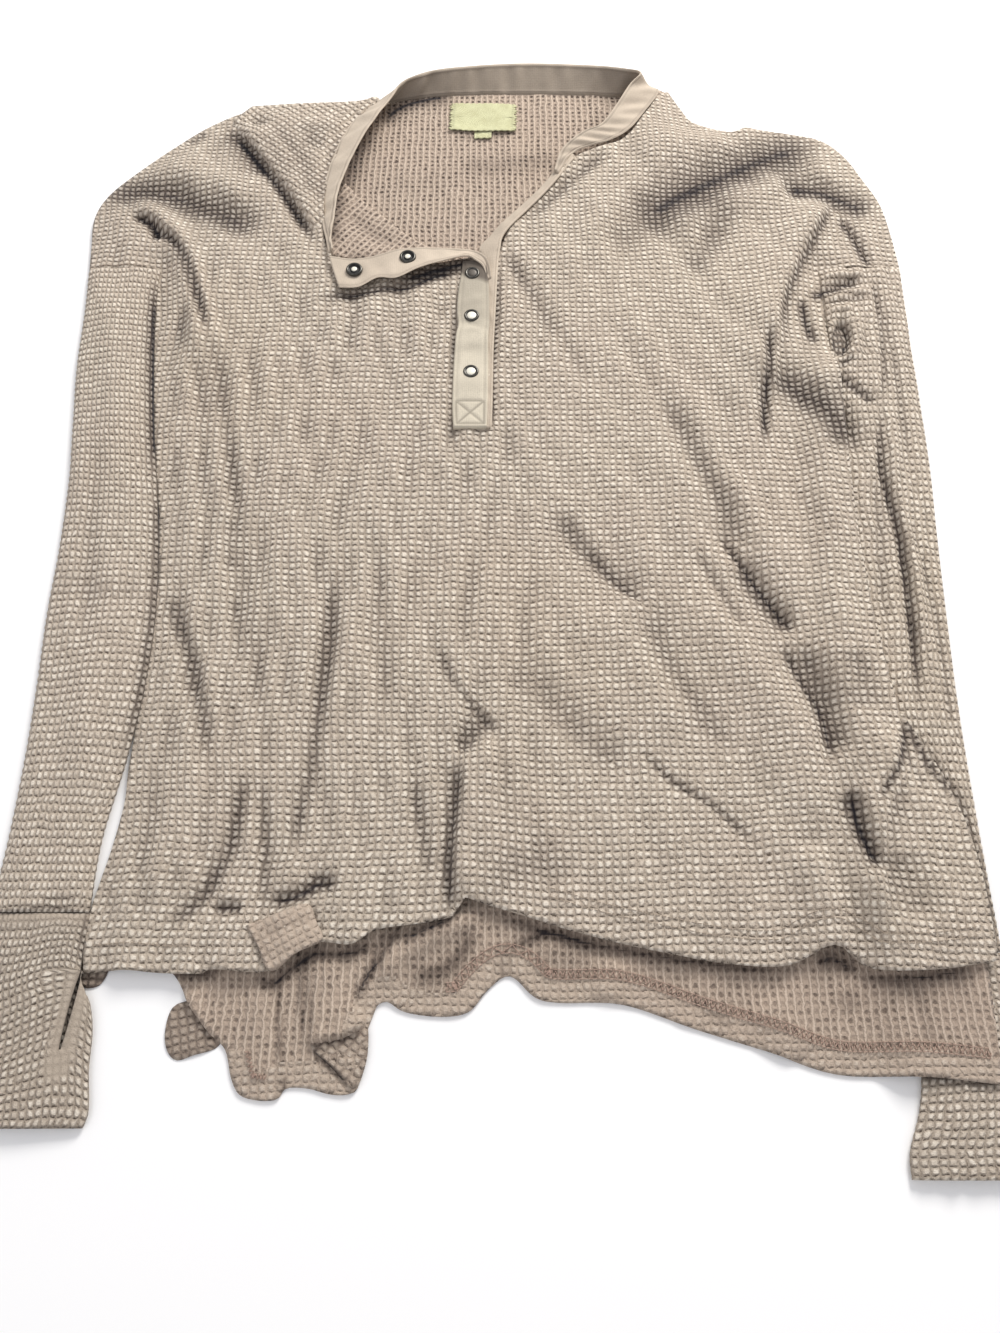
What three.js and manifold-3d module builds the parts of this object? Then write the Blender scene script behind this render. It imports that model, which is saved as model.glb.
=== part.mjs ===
// A long-sleeved waffle-knit thermal top with a snap placket, laid flat with its front up.
// Millimetres, +Z up. X runs across the garment and Y from its hems to its collar.
// Y counts from the level of the back hem. The last lines centre the whole on its footprint.
import * as THREE from "three";
import { mergeVertices } from "three/addons/utils/BufferGeometryUtils.js";
import Module from "manifold-3d";

const wasm = await Module();
wasm.setup();

// Cloth thicknesses and clearances.
const WAFFLE = 1.5;
const DOUBLED = 1.8;
const LABEL_CLOTH = 0.9;
const SEAM_GAP = 0.4;
// Depth of a prism that trims a panel, well past every fold.
const TRIM = 200;

// Body: how high the front stands off the back, and how soon it gets there from a side seam.
const FRONT_LIFT = 4.5;
const SIDE_ROLL = 16;
const CLIMB_MARGIN = 1.12;
// Where the back climbs onto the right sleeve: it starts and ends this far inside the sleeve's edge,
// clears it by so much, and comes down again between two levels of y.
const CLIMB = { start: 26, end: 4, clearance: 0.8, downFrom: 462, downAt: 500 };
// Each fold fades out at its ends: over this share of its length, starting this share past its end.
const FOLD_FADE = { over: 0.15, past: 0.05 };

// The lines that the panels' grids are built on.
// The back is flat on the left, so its grid is finer only where it climbs over the right sleeve.
const GRID_STEP = 20;
const FRONT_ACROSS = [{ from: -340, to: 320, step: GRID_STEP }];
const FRONT_ALONG = [{ from: 40, to: 780, step: GRID_STEP }];
const BACK_ACROSS = [
  { from: -360, to: 180, step: 60 },
  { from: 200, to: 320, step: 20 },
];
const BACK_ALONG = [
  { from: -40, to: 440, step: 40 },
  { from: 460, to: 520, step: 20 },
  { from: 560, to: 800, step: 40 },
];

// Sleeves and cuffs, flattened tubes: the least height that a fold leaves, and how square their edges are.
const LEAST_HEIGHT = 2 * WAFFLE + 1;
const EDGE_POWER = 6;
const THUMB_SLOT = { x: -242, from: 3, to: 49, width: 6 };

// Snaps: radii and thickness, then the levels of the rim's shoulder, the well's floor and the post's.
const SNAP = { rim: 6.2, bevel: 0.6, well: 3.6, post: 2, thick: 1.5, sides: 14 };
const SNAP_LEVELS = { shoulder: 0.7 * SNAP.thick, floor: 0.4 * SNAP.thick, post: 0.9 * SNAP.thick };

// Label at the back of the neck.
const LABEL = { x: -14, y: 733, width: 53, height: 32, turn: -0.03 };

// Front placket strip with its snap studs, below the folded-open strip.
const PLACKET = { left: -34.5, right: -9.5, bottom: 421, top: 572 };

// Outlines, in plan, as runs of points from one corner to the next.
const LEFT_SHOULDER = [
  [-119, 745],
  [-160, 744],
  [-205, 740],
  [-237, 723],
  [-264, 699],
  [-291, 671],
  [-311, 646],
  [-319, 622],
  [-317, 592],
  [-315, 569],
];
const LEFT_SIDE = [
  [-260, 569],
  [-255, 520],
  [-249, 460],
  [-240, 400],
  [-231, 350],
  [-225, 300],
  [-223, 250],
  [-226, 200],
  [-233, 150],
  [-238, 100],
  [-239, 52],
];
const FRONT_HEM_LEFT = [
  [-239, 52],
  [-200, 53],
  [-160, 52],
  [-128, 54],
  [-103, 69],
  [-85, 68],
  [-72, 76],
  [-28, 81],
];
const FRONT_HEM_RIGHT = [
  [-20, 94],
  [20, 82],
  [50, 73],
  [90, 64],
  [130, 57],
  [165, 56],
  [192, 67],
  [213, 54],
  [245, 53],
  [283, 58],
];
const BACK_HEM_LEFT = [
  [-236, 62],
  [-195, 55],
  [-178, 36],
  [-163, 16],
  [-150, -9],
  [-138, -14],
  [-122, -9],
  [-96, -13],
  [-80, -4],
  [-74, 26],
];
const BACK_HEM_RIGHT = [
  [-66, 37],
  [-40, 30],
  [-18, 33],
  [-4, 51],
  [10, 51],
  [28, 38],
  [70, 36],
  [110, 22],
  [150, 10],
  [188, -2],
  [235, -3],
  [275, -7],
];
const BACK_SLIT = [
  [275, -7],
  [278, 60],
  [274, 120],
  [262, 170],
  [249, 205],
];
const FRONT_SLIT = [
  [283, 58],
  [283, 100],
  [279, 135],
  [271, 162],
  [262, 184],
  [251, 206],
];
const RIGHT_SIDE = [
  [249, 206],
  [244, 260],
  [241, 320],
  [242, 400],
  [244, 460],
  [242, 520],
  [243, 569],
];
const RIGHT_SHOULDER = [
  [307, 569],
  [305, 604],
  [301, 636],
  [291, 662],
  [279, 688],
  [262, 706],
  [238, 713],
  [214, 718],
  [202, 721],
  [188, 716],
  [160, 726],
  [150, 742],
  [141, 762],
];
const BACK_NECK = [
  [134, 765],
  [107, 758],
  [60, 760],
  [0, 760],
  [-60, 757],
  [-92, 750],
];
const FRONT_NECK_RIGHT = [
  [134, 760],
  [121, 735],
  [107, 712],
  [91, 698],
  [60, 684],
  [38, 652],
  [20, 626],
  [4, 604],
  [-7, 586],
];
const FRONT_NECK_LEFT = [
  [-7, 580],
  [-60, 572],
  [-100, 562],
  [-134, 590],
  [-140, 610],
  [-142, 636],
  [-139, 668],
  [-131, 703],
  [-119, 730],
];

// The folds that shape the front: a ridge where rise is positive, a trough where it is negative.
// left and right are how far it spreads on each hand of someone who walks along its path.
const FRONT_FOLDS = [
  {
    name: "lapel", rise: 9, left: 34, right: 6,
    path: [[-214, 714], [-188, 682], [-163, 642], [-136, 590]],
  },
  {
    name: "lapel valley", rise: -4, left: 4, right: 26,
    path: [[-226, 706], [-198, 674], [-172, 634], [-146, 594]],
  },
  {
    name: "left shoulder hollow", rise: -5, left: 20, right: 20,
    path: [[-304, 652], [-250, 646], [-200, 612]],
  },
  {
    name: "left underarm ridge", rise: 7, left: 14, right: 9,
    path: [[-292, 640], [-262, 612], [-236, 560], [-228, 500]],
  },
  {
    name: "left underarm pinch", rise: -5, left: 5, right: 8,
    path: [[-288, 628], [-270, 612], [-261, 580]],
  },
  {
    name: "right shoulder hollow", rise: -6, left: 18, right: 20,
    path: [[96, 628], [160, 656], [212, 686], [262, 704]],
  },
  { name: "right shoulder pit", rise: -5, left: 16, right: 14, path: [[250, 654], [290, 640]] },
  {
    name: "right underarm fold", rise: 9, left: 8, right: 30,
    path: [[262, 642], [214, 552], [196, 500], [190, 440]],
  },
  {
    name: "beside the underarm fold", rise: -4, left: 34, right: 10,
    path: [[240, 560], [222, 480], [214, 400]],
  },
  {
    name: "right flank trough", rise: -6, left: 16, right: 14,
    path: [[128, 400], [150, 330], [188, 265], [212, 180], [219, 96]],
  },
  {
    name: "right flank ridge", rise: 5, left: 20, right: 20,
    path: [[160, 400], [184, 330], [216, 262], [236, 210]],
  },
  {
    name: "slit ridge", rise: 5, left: 6, right: 14,
    path: [[250, 206], [238, 164], [226, 140], [214, 60]],
  },
  { name: "hem arch", rise: 5, left: 12, right: 12, path: [[192, 66], [190, 100], [182, 140]] },
  { name: "hem step", rise: 7, left: 30, right: 4, path: [[-20, 198], [-26, 150], [-28, 110], [-22, 84]] },
  { name: "centre dimple", rise: -4, left: 16, right: 16, path: [[-30, 196], [14, 202]] },
  {
    name: "left long trough", rise: -4, left: 9, right: 9,
    path: [[-108, 400], [-112, 290], [-118, 190], [-130, 110]],
  },
  { name: "left hem trough", rise: -4, left: 10, right: 9, path: [[-160, 190], [-164, 120], [-192, 78]] },
  { name: "hem tab", rise: 5, left: 8, right: 14, path: [[-168, 88], [-140, 82], [-108, 92]] },
  { name: "left flank ridge", rise: 4, left: 14, right: 14, path: [[-196, 480], [-196, 360], [-180, 240]] },
  {
    name: "middle trough", rise: -4, left: 16, right: 14,
    path: [[48, 360], [84, 300], [98, 236], [104, 180]],
  },
  { name: "chest ridge", rise: 4, left: 22, right: 22, path: [[30, 610], [70, 560], [96, 470]] },
];

// The folds of the sleeves. underarm is the hollow between the right sleeve and the body.
const SLEEVE_FOLDS = [
  { name: "underarm", rise: -7, left: 9, right: 9, path: [[250, 536], [250, 506], [250, 478]] },
  { name: "right crease", rise: -3, left: 6, right: 6, path: [[272, 430], [268, 330], [264, 210]] },
  { name: "left upper ridge", rise: 2, left: 12, right: 12, path: [[-290, 540], [-282, 470], [-268, 400]] },
  { name: "left lower ridge", rise: 2, left: 14, right: 14, path: [[-262, 330], [-262, 240], [-268, 160]] },
];

// Sections of the tubes: y of the section, its edge beside the body, its outer edge and its height.
const LEFT_SLEEVE = [
  { y: 568.6, inner: -260.5, outer: -315, high: 9 },
  { y: 530, inner: -258.5, outer: -312, high: 9 },
  { y: 480, inner: -253.5, outer: -310, high: 9 },
  { y: 430, inner: -247, outer: -305, high: 9 },
  { y: 380, inner: -238.5, outer: -300, high: 9 },
  { y: 330, inner: -231, outer: -298, high: 9 },
  { y: 280, inner: -226.5, outer: -298, high: 9 },
  { y: 230, inner: -226.5, outer: -296, high: 9 },
  { y: 180, inner: -231.5, outer: -295, high: 9 },
  { y: 130, inner: -239.5, outer: -296, high: 8.5 },
  { y: 86, inner: -240.5, outer: -299, high: 8 },
];
const LEFT_CUFF = [
  { y: 85.5, inner: -240, outer: -300, high: 7.5 },
  { y: 50, inner: -240.5, outer: -302.5, high: 7 },
  { y: 36, inner: -233, outer: -303, high: 7 },
  { y: 20, inner: -229, outer: -304, high: 7 },
  { y: 0, inner: -228, outer: -304, high: 7 },
  { y: -20, inner: -225, outer: -304, high: 7 },
  { y: -29, inner: -227, outer: -303, high: 6.5 },
];
const RIGHT_SLEEVE = [
  { y: 568.6, inner: 243.5, outer: 307, high: 9 },
  { y: 540, inner: 244, outer: 305.5, high: 9 },
  { y: 520, inner: 244, outer: 305, high: 9 },
  { y: 500, inner: 244, outer: 304, high: 9 },
  { y: 475, inner: 243, outer: 303.5, high: 9 },
  { y: 440, inner: 237, outer: 303, high: 8.5 },
  { y: 390, inner: 230, outer: 301.5, high: 8 },
  { y: 340, inner: 227, outer: 298, high: 7.5 },
  { y: 280, inner: 226, outer: 294.5, high: 7.5 },
  { y: 210, inner: 226, outer: 291, high: 7.5 },
  { y: 140, inner: 227, outer: 290, high: 7.5 },
  { y: 64, inner: 229, outer: 290.5, high: 7.5 },
];
const RIGHT_CUFF = [
  { y: 63.5, inner: 229, outer: 291, high: 7 },
  { y: 30, inner: 231, outer: 293, high: 6.5 },
  { y: 0, inner: 233, outer: 293, high: 6.5 },
  { y: -20, inner: 229, outer: 292, high: 6.5 },
  { y: -40, inner: 221, outer: 290, high: 6.5 },
  { y: -54, inner: 220, outer: 289, high: 6 },
];

// Neckband sections: the sewn edge and the free edge, from the left front round the back to the right.
const NECKBAND = [
  { sewn: [-131.6, 579.2, 12], free: [-128, 581, 15] },
  { sewn: [-134.6, 594, 10], free: [-130.5, 597, 12] },
  { sewn: [-138.8, 612, 9], free: [-129, 614, 13] },
  { sewn: [-140.9, 637, 8.4], free: [-127, 640, 15] },
  { sewn: [-137.8, 668, 8.4], free: [-120, 668, 16] },
  { sewn: [-130, 702, 7.6], free: [-110, 697, 17] },
  { sewn: [-118.4, 730, 6], free: [-99, 720, 18] },
  { sewn: [-104, 749, 3.6], free: [-88, 741, 18] },
  { sewn: [-90, 752.4, 1.6], free: [-80, 757, 18] },
  { sewn: [-60, 758.8, 0.6], free: [-58, 772, 15] },
  { sewn: [-25, 761.2, 0.4], free: [-24, 780, 13] },
  { sewn: [20, 761.8, 0.4], free: [20, 783, 13] },
  { sewn: [70, 761, 0.6], free: [70, 780, 14] },
  { sewn: [106, 758.9, 1.4], free: [100, 772, 18] },
  { sewn: [128, 765.4, 3.4], free: [116, 762, 22] },
  { sewn: [133, 759, 6], free: [106, 750, 19] },
  { sewn: [120.2, 735.6, 7.6], free: [94, 729, 17] },
  { sewn: [105.6, 713.4, 8.8], free: [82, 712, 15] },
  { sewn: [89, 700.4, 9.4], free: [66, 704, 14] },
  { sewn: [60.4, 687.4, 9.4], free: [50, 689, 11] },
];

// The strip of placket folded open to the left, wrong side up: its two long edges.
const FLAP = [
  { upper: [-131, 577, 12], lower: [-121, 545, 13] },
  { upper: [-112, 574, 12], lower: [-106, 545, 14] },
  { upper: [-95, 577, 12], lower: [-92, 553, 15] },
  { upper: [-80, 583, 12], lower: [-78, 552, 16] },
  { upper: [-61, 585, 12], lower: [-61, 561, 17] },
  { upper: [-42, 584, 12], lower: [-42, 568, 17] },
  { upper: [-25, 582, 13], lower: [-26, 573, 16] },
  { upper: [-13, 576, 13], lower: [-17, 569, 14] },
];

// Snaps: sockets on the folded strip, studs on the strip below.
const SOCKETS = [
  { name: "snap_socket_outer", x: -110, y: 561 },
  { name: "snap_socket_inner", x: -70, y: 573 },
];
const STUDS = [
  { name: "snap_stud_top", x: -21, y: 560 },
  { name: "snap_stud_middle", x: -21, y: 519 },
  { name: "snap_stud_bottom", x: -21, y: 469 },
];

const COLOURS = {
  waffle: 0xb5a394,
  plain: 0xb0a291,
  label: 0xe6e2b0,
  metal: 0x8d8a84,
};

// ---------------------------------------------------------------- shared working

function material(colour, roughness, metalness = 0) {
  return new THREE.MeshStandardMaterial({ color: colour, roughness, metalness });
}

function smooth(from, to, value) {
  return THREE.MathUtils.smoothstep(value, from, to);
}

// Nearest point of a path in plan: how far, on which hand, and how far along as a share.
function nearest(path, x, y) {
  const lengths = path.slice(1).map((p, i) => Math.hypot(p[0] - path[i][0], p[1] - path[i][1]));
  const whole = lengths.reduce((sum, part) => sum + part, 0);
  let best = { far: Infinity, hand: 0, along: 0 };
  let before = 0;
  lengths.forEach((length, i) => {
    const [ax, ay] = path[i];
    const ux = (path[i + 1][0] - ax) / length;
    const uy = (path[i + 1][1] - ay) / length;
    const reach = THREE.MathUtils.clamp((x - ax) * ux + (y - ay) * uy, 0, length);
    const far = Math.hypot(x - ax - reach * ux, y - ay - reach * uy);
    if (far < best.far) {
      const hand = Math.sign(ux * (y - ay) - uy * (x - ax));
      best = { far, hand, along: (before + reach) / whole };
    }
    before += length;
  });
  return best;
}

// Height that a table of folds adds at a point.
function foldsAt(folds, x, y) {
  return folds.reduce((sum, { rise, left, right, path }) => {
    const { far, hand, along } = nearest(path, x, y);
    const spread = hand > 0 ? left : right;
    const { over, past } = FOLD_FADE;
    const fade = smooth(0, over, along + past) * smooth(0, over, 1 + past - along);
    return sum + rise * fade * Math.exp(-((far / spread) ** 2));
  }, 0);
}

// A smooth run through an outline's points.
function run(points, steps = 2) {
  const curve = new THREE.SplineCurve(points.map(([x, y]) => new THREE.Vector2(x, y)));
  return curve.getPoints((points.length - 1) * steps);
}

function edgeOf(sections, y, side) {
  const i = sections.findIndex((s) => s.y <= y);
  if (i < 0) return sections.at(-1)[side];
  if (i === 0) return sections[0][side];
  const [above, below] = [sections[i - 1], sections[i]];
  return THREE.MathUtils.mapLinear(y, above.y, below.y, above[side], below[side]);
}

// ---------------------------------------------------------------- heights of the cloth

const RIGHT_TUBES = [...RIGHT_SLEEVE, ...RIGHT_CUFF];
const BODY_EDGES = [LEFT_SHOULDER, LEFT_SIDE, RIGHT_SIDE, RIGHT_SHOULDER, FRONT_SLIT];

// Underside of the back panel: flat on the ground, and over the right sleeve where that passes under.
function backUnder(x, y) {
  const inner = edgeOf(RIGHT_TUBES, y, "inner");
  const high = edgeOf(RIGHT_TUBES, y, "high") + CLIMB.clearance;
  const climbed = smooth(inner - CLIMB.start, inner - CLIMB.end, x);
  return high * climbed * (1 - smooth(CLIMB.downFrom, CLIMB.downAt, y));
}

// Top of the front panel.
function frontTop(x, y) {
  const climb = backUnder(x, y);
  const floor = climb * CLIMB_MARGIN + 2 * WAFFLE + SEAM_GAP;
  const fromSide = Math.min(...BODY_EDGES.map((edge) => nearest(edge, x, y).far));
  const inside = 1 - Math.exp(-((fromSide / SIDE_ROLL) ** 2));
  const lift = FRONT_LIFT + foldsAt(FRONT_FOLDS, x, y);
  return floor + Math.max(0, lift) * inside;
}

// ---------------------------------------------------------------- solids

function geometryFrom(corners, faces) {
  const geometry = new THREE.BufferGeometry();
  geometry.setAttribute("position", new THREE.Float32BufferAttribute(corners.flat(), 3));
  geometry.setIndex(faces.flat());
  return geometry;
}

// A closed wall between two grids of points, rows by columns. Round closes each row into a ring.
function wallBetween(outer, inner, round = false) {
  const rows = outer.length;
  const columns = outer[0].length;
  const across = round ? columns : columns - 1;
  const corners = [...outer.flat(), ...inner.flat()];
  const out = (r, c) => r * columns + (c % columns);
  const back = (r, c) => rows * columns + out(r, c);
  const faces = [];
  const quad = (a, b, c, d) => faces.push([a, b, c], [a, c, d]);
  for (let r = 0; r < rows - 1; r++) {
    for (let c = 0; c < across; c++) {
      quad(out(r, c), out(r, c + 1), out(r + 1, c + 1), out(r + 1, c));
      quad(back(r + 1, c), back(r + 1, c + 1), back(r, c + 1), back(r, c));
    }
    if (!round) {
      quad(out(r + 1, 0), back(r + 1, 0), back(r, 0), out(r, 0));
      quad(out(r, across), back(r, across), back(r + 1, across), out(r + 1, across));
    }
  }
  for (let c = 0; c < across; c++) {
    quad(out(0, c + 1), out(0, c), back(0, c), back(0, c + 1));
    quad(out(rows - 1, c), out(rows - 1, c + 1), back(rows - 1, c + 1), back(rows - 1, c));
  }
  return geometryFrom(corners, faces);
}

function toSolid(geometry) {
  const bare = geometry.index ? geometry.toNonIndexed() : geometry.clone();
  bare.deleteAttribute("normal");
  bare.deleteAttribute("uv");
  const merged = mergeVertices(bare, 1e-3);
  return new wasm.Manifold(
    new wasm.Mesh({
      numProp: 3,
      vertProperties: merged.attributes.position.array,
      triVerts: new Uint32Array(merged.index.array),
    }),
  );
}

function toGeometry(solid) {
  const mesh = solid.getMesh();
  const geometry = new THREE.BufferGeometry();
  geometry.setAttribute("position", new THREE.BufferAttribute(mesh.vertProperties, 3));
  geometry.setIndex(new THREE.BufferAttribute(mesh.triVerts, 1));
  return geometry;
}

// The grid lines that a table of bands gives.
function linesOf(bands) {
  return bands.flatMap(({ from, to, step }) =>
    Array.from({ length: Math.round((to - from) / step) + 1 }, (_, i) => from + i * step),
  );
}

// A panel: a wall on a grid of heights, trimmed to its outline.
function panel(outline, across, along, topAt) {
  const shape = new THREE.Shape(outline);
  const xs = linesOf(across);
  const ys = linesOf(along);
  const top = ys.map((y) => xs.map((x) => [x, y, topAt(x, y)]));
  const under = top.map((row) => row.map(([x, y, z]) => [x, y, z - WAFFLE]));
  const sheet = toSolid(wallBetween(top, under));
  const trim = new THREE.ExtrudeGeometry(shape, { depth: TRIM, bevelEnabled: false });
  trim.translate(0, 0, -TRIM / 2);
  return toGeometry(sheet.intersect(toSolid(trim)));
}

// A flattened tube. Its top is a low arch with the sleeve's folds, and its underside is flat.
const ARCH = [
  [1, 0.5],
  [0.93, 0.82],
  [0.8, 0.94],
  [0.6, 1],
  [0.35, 1],
  [0.1, 1],
  [-0.1, 1],
  [-0.35, 1],
  [-0.6, 1],
  [-0.8, 0.94],
  [-0.93, 0.82],
  [-1, 0.5],
];
const SOLE = [-0.93, -0.4, 0.4, 0.93];
function tube(sections) {
  const outer = [];
  const inner = [];
  sections.forEach(({ y, inner: near, outer: far, high }) => {
    const middle = (near + far) / 2;
    const half = Math.abs(far - near) / 2;
    const top = ARCH.map(([u, share]) => {
      const x = middle + u * half;
      const fold = foldsAt(SLEEVE_FOLDS, x, y) * (1 - u ** EDGE_POWER);
      const z = Math.max(share * high + fold, Math.min(share * high, LEAST_HEIGHT));
      return [x, y, z];
    });
    const sole = SOLE.map((u) => [middle + u * half, y, 0]);
    outer.push([...top, ...sole]);
    inner.push([
      ...top.map(([x, , z], i) => {
        const end = Math.abs(ARCH[i][0]) === 1;
        return end ? [x - Math.sign(x - middle) * WAFFLE, y, z] : [x, y, z - WAFFLE];
      }),
      ...sole.map(([x]) => [x, y, WAFFLE]),
    ]);
  });
  return wallBetween(outer, inner, true);
}

// A strip between two edges given section by section, with its thickness square to its face.
function strip(edges, thickness, across = 2, steps = 2) {
  const along = (side) => {
    const curve = new THREE.CatmullRomCurve3(edges.map((e) => new THREE.Vector3(...e[side])));
    const count = (edges.length - 1) * steps;
    return Array.from({ length: count + 1 }, (_, i) => curve.getPoint(i / count));
  };
  const [one, two] = Object.keys(edges[0]);
  const starts = along(one);
  const ends = along(two);
  const rows = starts.map((start, r) =>
    Array.from({ length: across + 1 }, (_, c) => start.clone().lerp(ends[r], c / across)),
  );
  const moved = rows.map((row, r) => {
    const ahead = rows[Math.min(r + 1, rows.length - 1)];
    const behind = rows[Math.max(r - 1, 0)];
    return row.map((point, c) => {
      const forward = ahead[c].clone().sub(behind[c]);
      const sideways = row.at(-1).clone().sub(row[0]);
      const square = sideways.cross(forward).normalize();
      return point.clone().addScaledVector(square, -thickness);
    });
  });
  const plain = (grid) => grid.map((row) => row.map((p) => p.toArray()));
  const geometry = wallBetween(plain(rows), plain(moved));
  return toSolid(geometry).volume() < 0 ? turned(geometry) : geometry;
}

function turned(geometry) {
  const index = geometry.index.array;
  for (let i = 0; i < index.length; i += 3) {
    [index[i], index[i + 1]] = [index[i + 1], index[i]];
  }
  return geometry;
}

// ---------------------------------------------------------------- the garment's pieces

const top = new THREE.Group();

function add(name, geometry, look) {
  const mesh = new THREE.Mesh(geometry, look);
  mesh.name = name;
  top.add(mesh);
  return mesh;
}

function addBody() {
  const front = [
    ...run(LEFT_SHOULDER),
    ...run(LEFT_SIDE),
    ...run(FRONT_HEM_LEFT),
    ...run(FRONT_HEM_RIGHT),
    ...run(FRONT_SLIT),
    ...run(RIGHT_SIDE),
    ...run(RIGHT_SHOULDER),
    ...run(FRONT_NECK_RIGHT),
    ...run(FRONT_NECK_LEFT),
  ];
  const back = [
    ...run(LEFT_SHOULDER),
    ...run(LEFT_SIDE.slice(0, -1)),
    ...run(BACK_HEM_LEFT),
    ...run(BACK_HEM_RIGHT),
    ...run(BACK_SLIT),
    ...run(RIGHT_SIDE.slice(1)),
    ...run(RIGHT_SHOULDER),
    ...run(BACK_NECK),
  ];
  const backTop = (x, y) => backUnder(x, y) + WAFFLE;
  add("back", panel(back, BACK_ACROSS, BACK_ALONG, backTop), material(COLOURS.waffle, 0.95));
  add("front", panel(front, FRONT_ACROSS, FRONT_ALONG, frontTop), material(COLOURS.waffle, 0.95));
}

function addSleeves() {
  const cloth = () => material(COLOURS.waffle, 0.95);
  add("sleeve_left", tube(LEFT_SLEEVE), cloth());
  add("sleeve_right", tube(RIGHT_SLEEVE), cloth());
  const { x, from, to, width } = THUMB_SLOT;
  const slot = new THREE.Shape();
  slot.absarc(x, from + width / 2, width / 2, Math.PI, 2 * Math.PI);
  slot.absarc(x, to - width / 2, width / 2, 0, Math.PI);
  const knife = new THREE.ExtrudeGeometry(slot, { depth: TRIM, bevelEnabled: false, curveSegments: 4 });
  knife.translate(0, 0, 2 * WAFFLE);
  const cuff = toSolid(tube(LEFT_CUFF)).subtract(toSolid(knife));
  add("cuff_left", toGeometry(cuff), cloth());
  add("cuff_right", tube(RIGHT_CUFF), cloth());
}

function addNeck() {
  add("neckband", strip(NECKBAND, DOUBLED), material(COLOURS.plain, 0.9));
  add("placket_flap", strip(FLAP, DOUBLED), material(COLOURS.plain, 0.9));
  const { left, right, bottom, top: upper } = PLACKET;
  const rows = strapRows();
  const grid = (lift) =>
    Array.from({ length: rows + 1 }, (_, r) => {
      const y = bottom + ((upper - bottom) * r) / rows;
      return [left, (left + right) / 2, right].map((x) => [x, y, strapHeight(y) + lift]);
    });
  add("placket_under", wallBetween(grid(DOUBLED), grid(0)), material(COLOURS.plain, 0.9));
  const label = new THREE.BoxGeometry(LABEL.width, LABEL.height, LABEL_CLOTH);
  const tag = add("neck_label", label, material(COLOURS.label, 0.85));
  tag.position.set(LABEL.x, LABEL.y, WAFFLE + SEAM_GAP + LABEL_CLOTH / 2);
  tag.rotation.z = LABEL.turn;
}

function strapRows() {
  return Math.round((PLACKET.top - PLACKET.bottom) / (GRID_STEP / 2));
}

// Underside of the lower placket strip: the height of the front along it, and a little more.
function strapHeight(y) {
  const { left, right } = PLACKET;
  const reach = GRID_STEP / 2;
  const heights = [left - reach, left, (left + right) / 2, right, right + reach].flatMap((x) =>
    [y - reach, y, y + reach].map((row) => frontTop(x, row)),
  );
  return Math.max(...heights) + SEAM_GAP;
}

// A snap: a round rim with a sunk well and a low post in the middle.
function snap() {
  const { rim, bevel, well, post, thick, sides } = SNAP;
  const profile = [
    [0, 0],
    [rim, 0],
    [rim, SNAP_LEVELS.shoulder],
    [rim - bevel, thick],
    [well, thick],
    [well, SNAP_LEVELS.floor],
    [post, SNAP_LEVELS.floor],
    [post, SNAP_LEVELS.post],
    [0, thick],
  ];
  return new THREE.LatheGeometry(profile.map(([x, z]) => new THREE.Vector2(x, z)), sides);
}

// Top of the folded strip at a point in plan.
function flapTop(x, y) {
  const lines = FLAP.map(({ upper, lower }) => {
    const across = (upper[1] - y) / (upper[1] - lower[1]);
    return upper.map((value, k) => value + (lower[k] - value) * across);
  });
  const i = lines.findIndex((point) => point[0] >= x);
  return THREE.MathUtils.mapLinear(x, lines[i - 1][0], lines[i][0], lines[i - 1][2], lines[i][2]);
}

// Top of the lower strip, between the rows that its wall is built on.
function strapTop(y) {
  const { bottom, top: upper } = PLACKET;
  const step = (upper - bottom) / strapRows();
  const row = Math.floor((y - bottom) / step);
  const low = strapHeight(bottom + row * step);
  const high = strapHeight(bottom + (row + 1) * step);
  return THREE.MathUtils.mapLinear(y, bottom + row * step, bottom + (row + 1) * step, low, high) + DOUBLED;
}

// Each snap lies square to the cloth under it.
function addSnaps() {
  const place = ({ name, x, y }, heightAt) => {
    const mesh = add(name, snap(), material(COLOURS.metal, 0.35, 0.9));
    const reach = SNAP.rim;
    const slopeX = (heightAt(x + reach, y) - heightAt(x - reach, y)) / (2 * reach);
    const slopeY = (heightAt(x, y + reach) - heightAt(x, y - reach)) / (2 * reach);
    const square = new THREE.Vector3(-slopeX, -slopeY, 1).normalize();
    mesh.quaternion.setFromUnitVectors(new THREE.Vector3(0, 1, 0), square);
    const around = [-reach, 0, reach].flatMap((u) => [-reach, 0, reach].map((v) => [u, v]));
    const bulge = Math.max(...around.map(([u, v]) => heightAt(x + u, y + v) - slopeX * u - slopeY * v));
    mesh.position.set(x, y, bulge + SEAM_GAP);
  };
  SOCKETS.forEach((one) => place(one, flapTop));
  STUDS.forEach((one) => place(one, (x, y) => strapTop(y)));
}

addBody();
addSleeves();
addNeck();
addSnaps();

// The origin is at the middle of the footprint, on the ground.
const footprint = new THREE.Box3().setFromObject(top);
const middle = footprint.getCenter(new THREE.Vector3());
top.position.set(-middle.x, -middle.y, -footprint.min.z);

export default top;
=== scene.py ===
"""A waffle-knit thermal top laid flat, front up: fine cloth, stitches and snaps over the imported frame.
Tables are in millimetres: x across the garment, y from the back hem's level up to the collar.
put() turns them into the frame's metres."""
import math
from functools import partial

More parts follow.
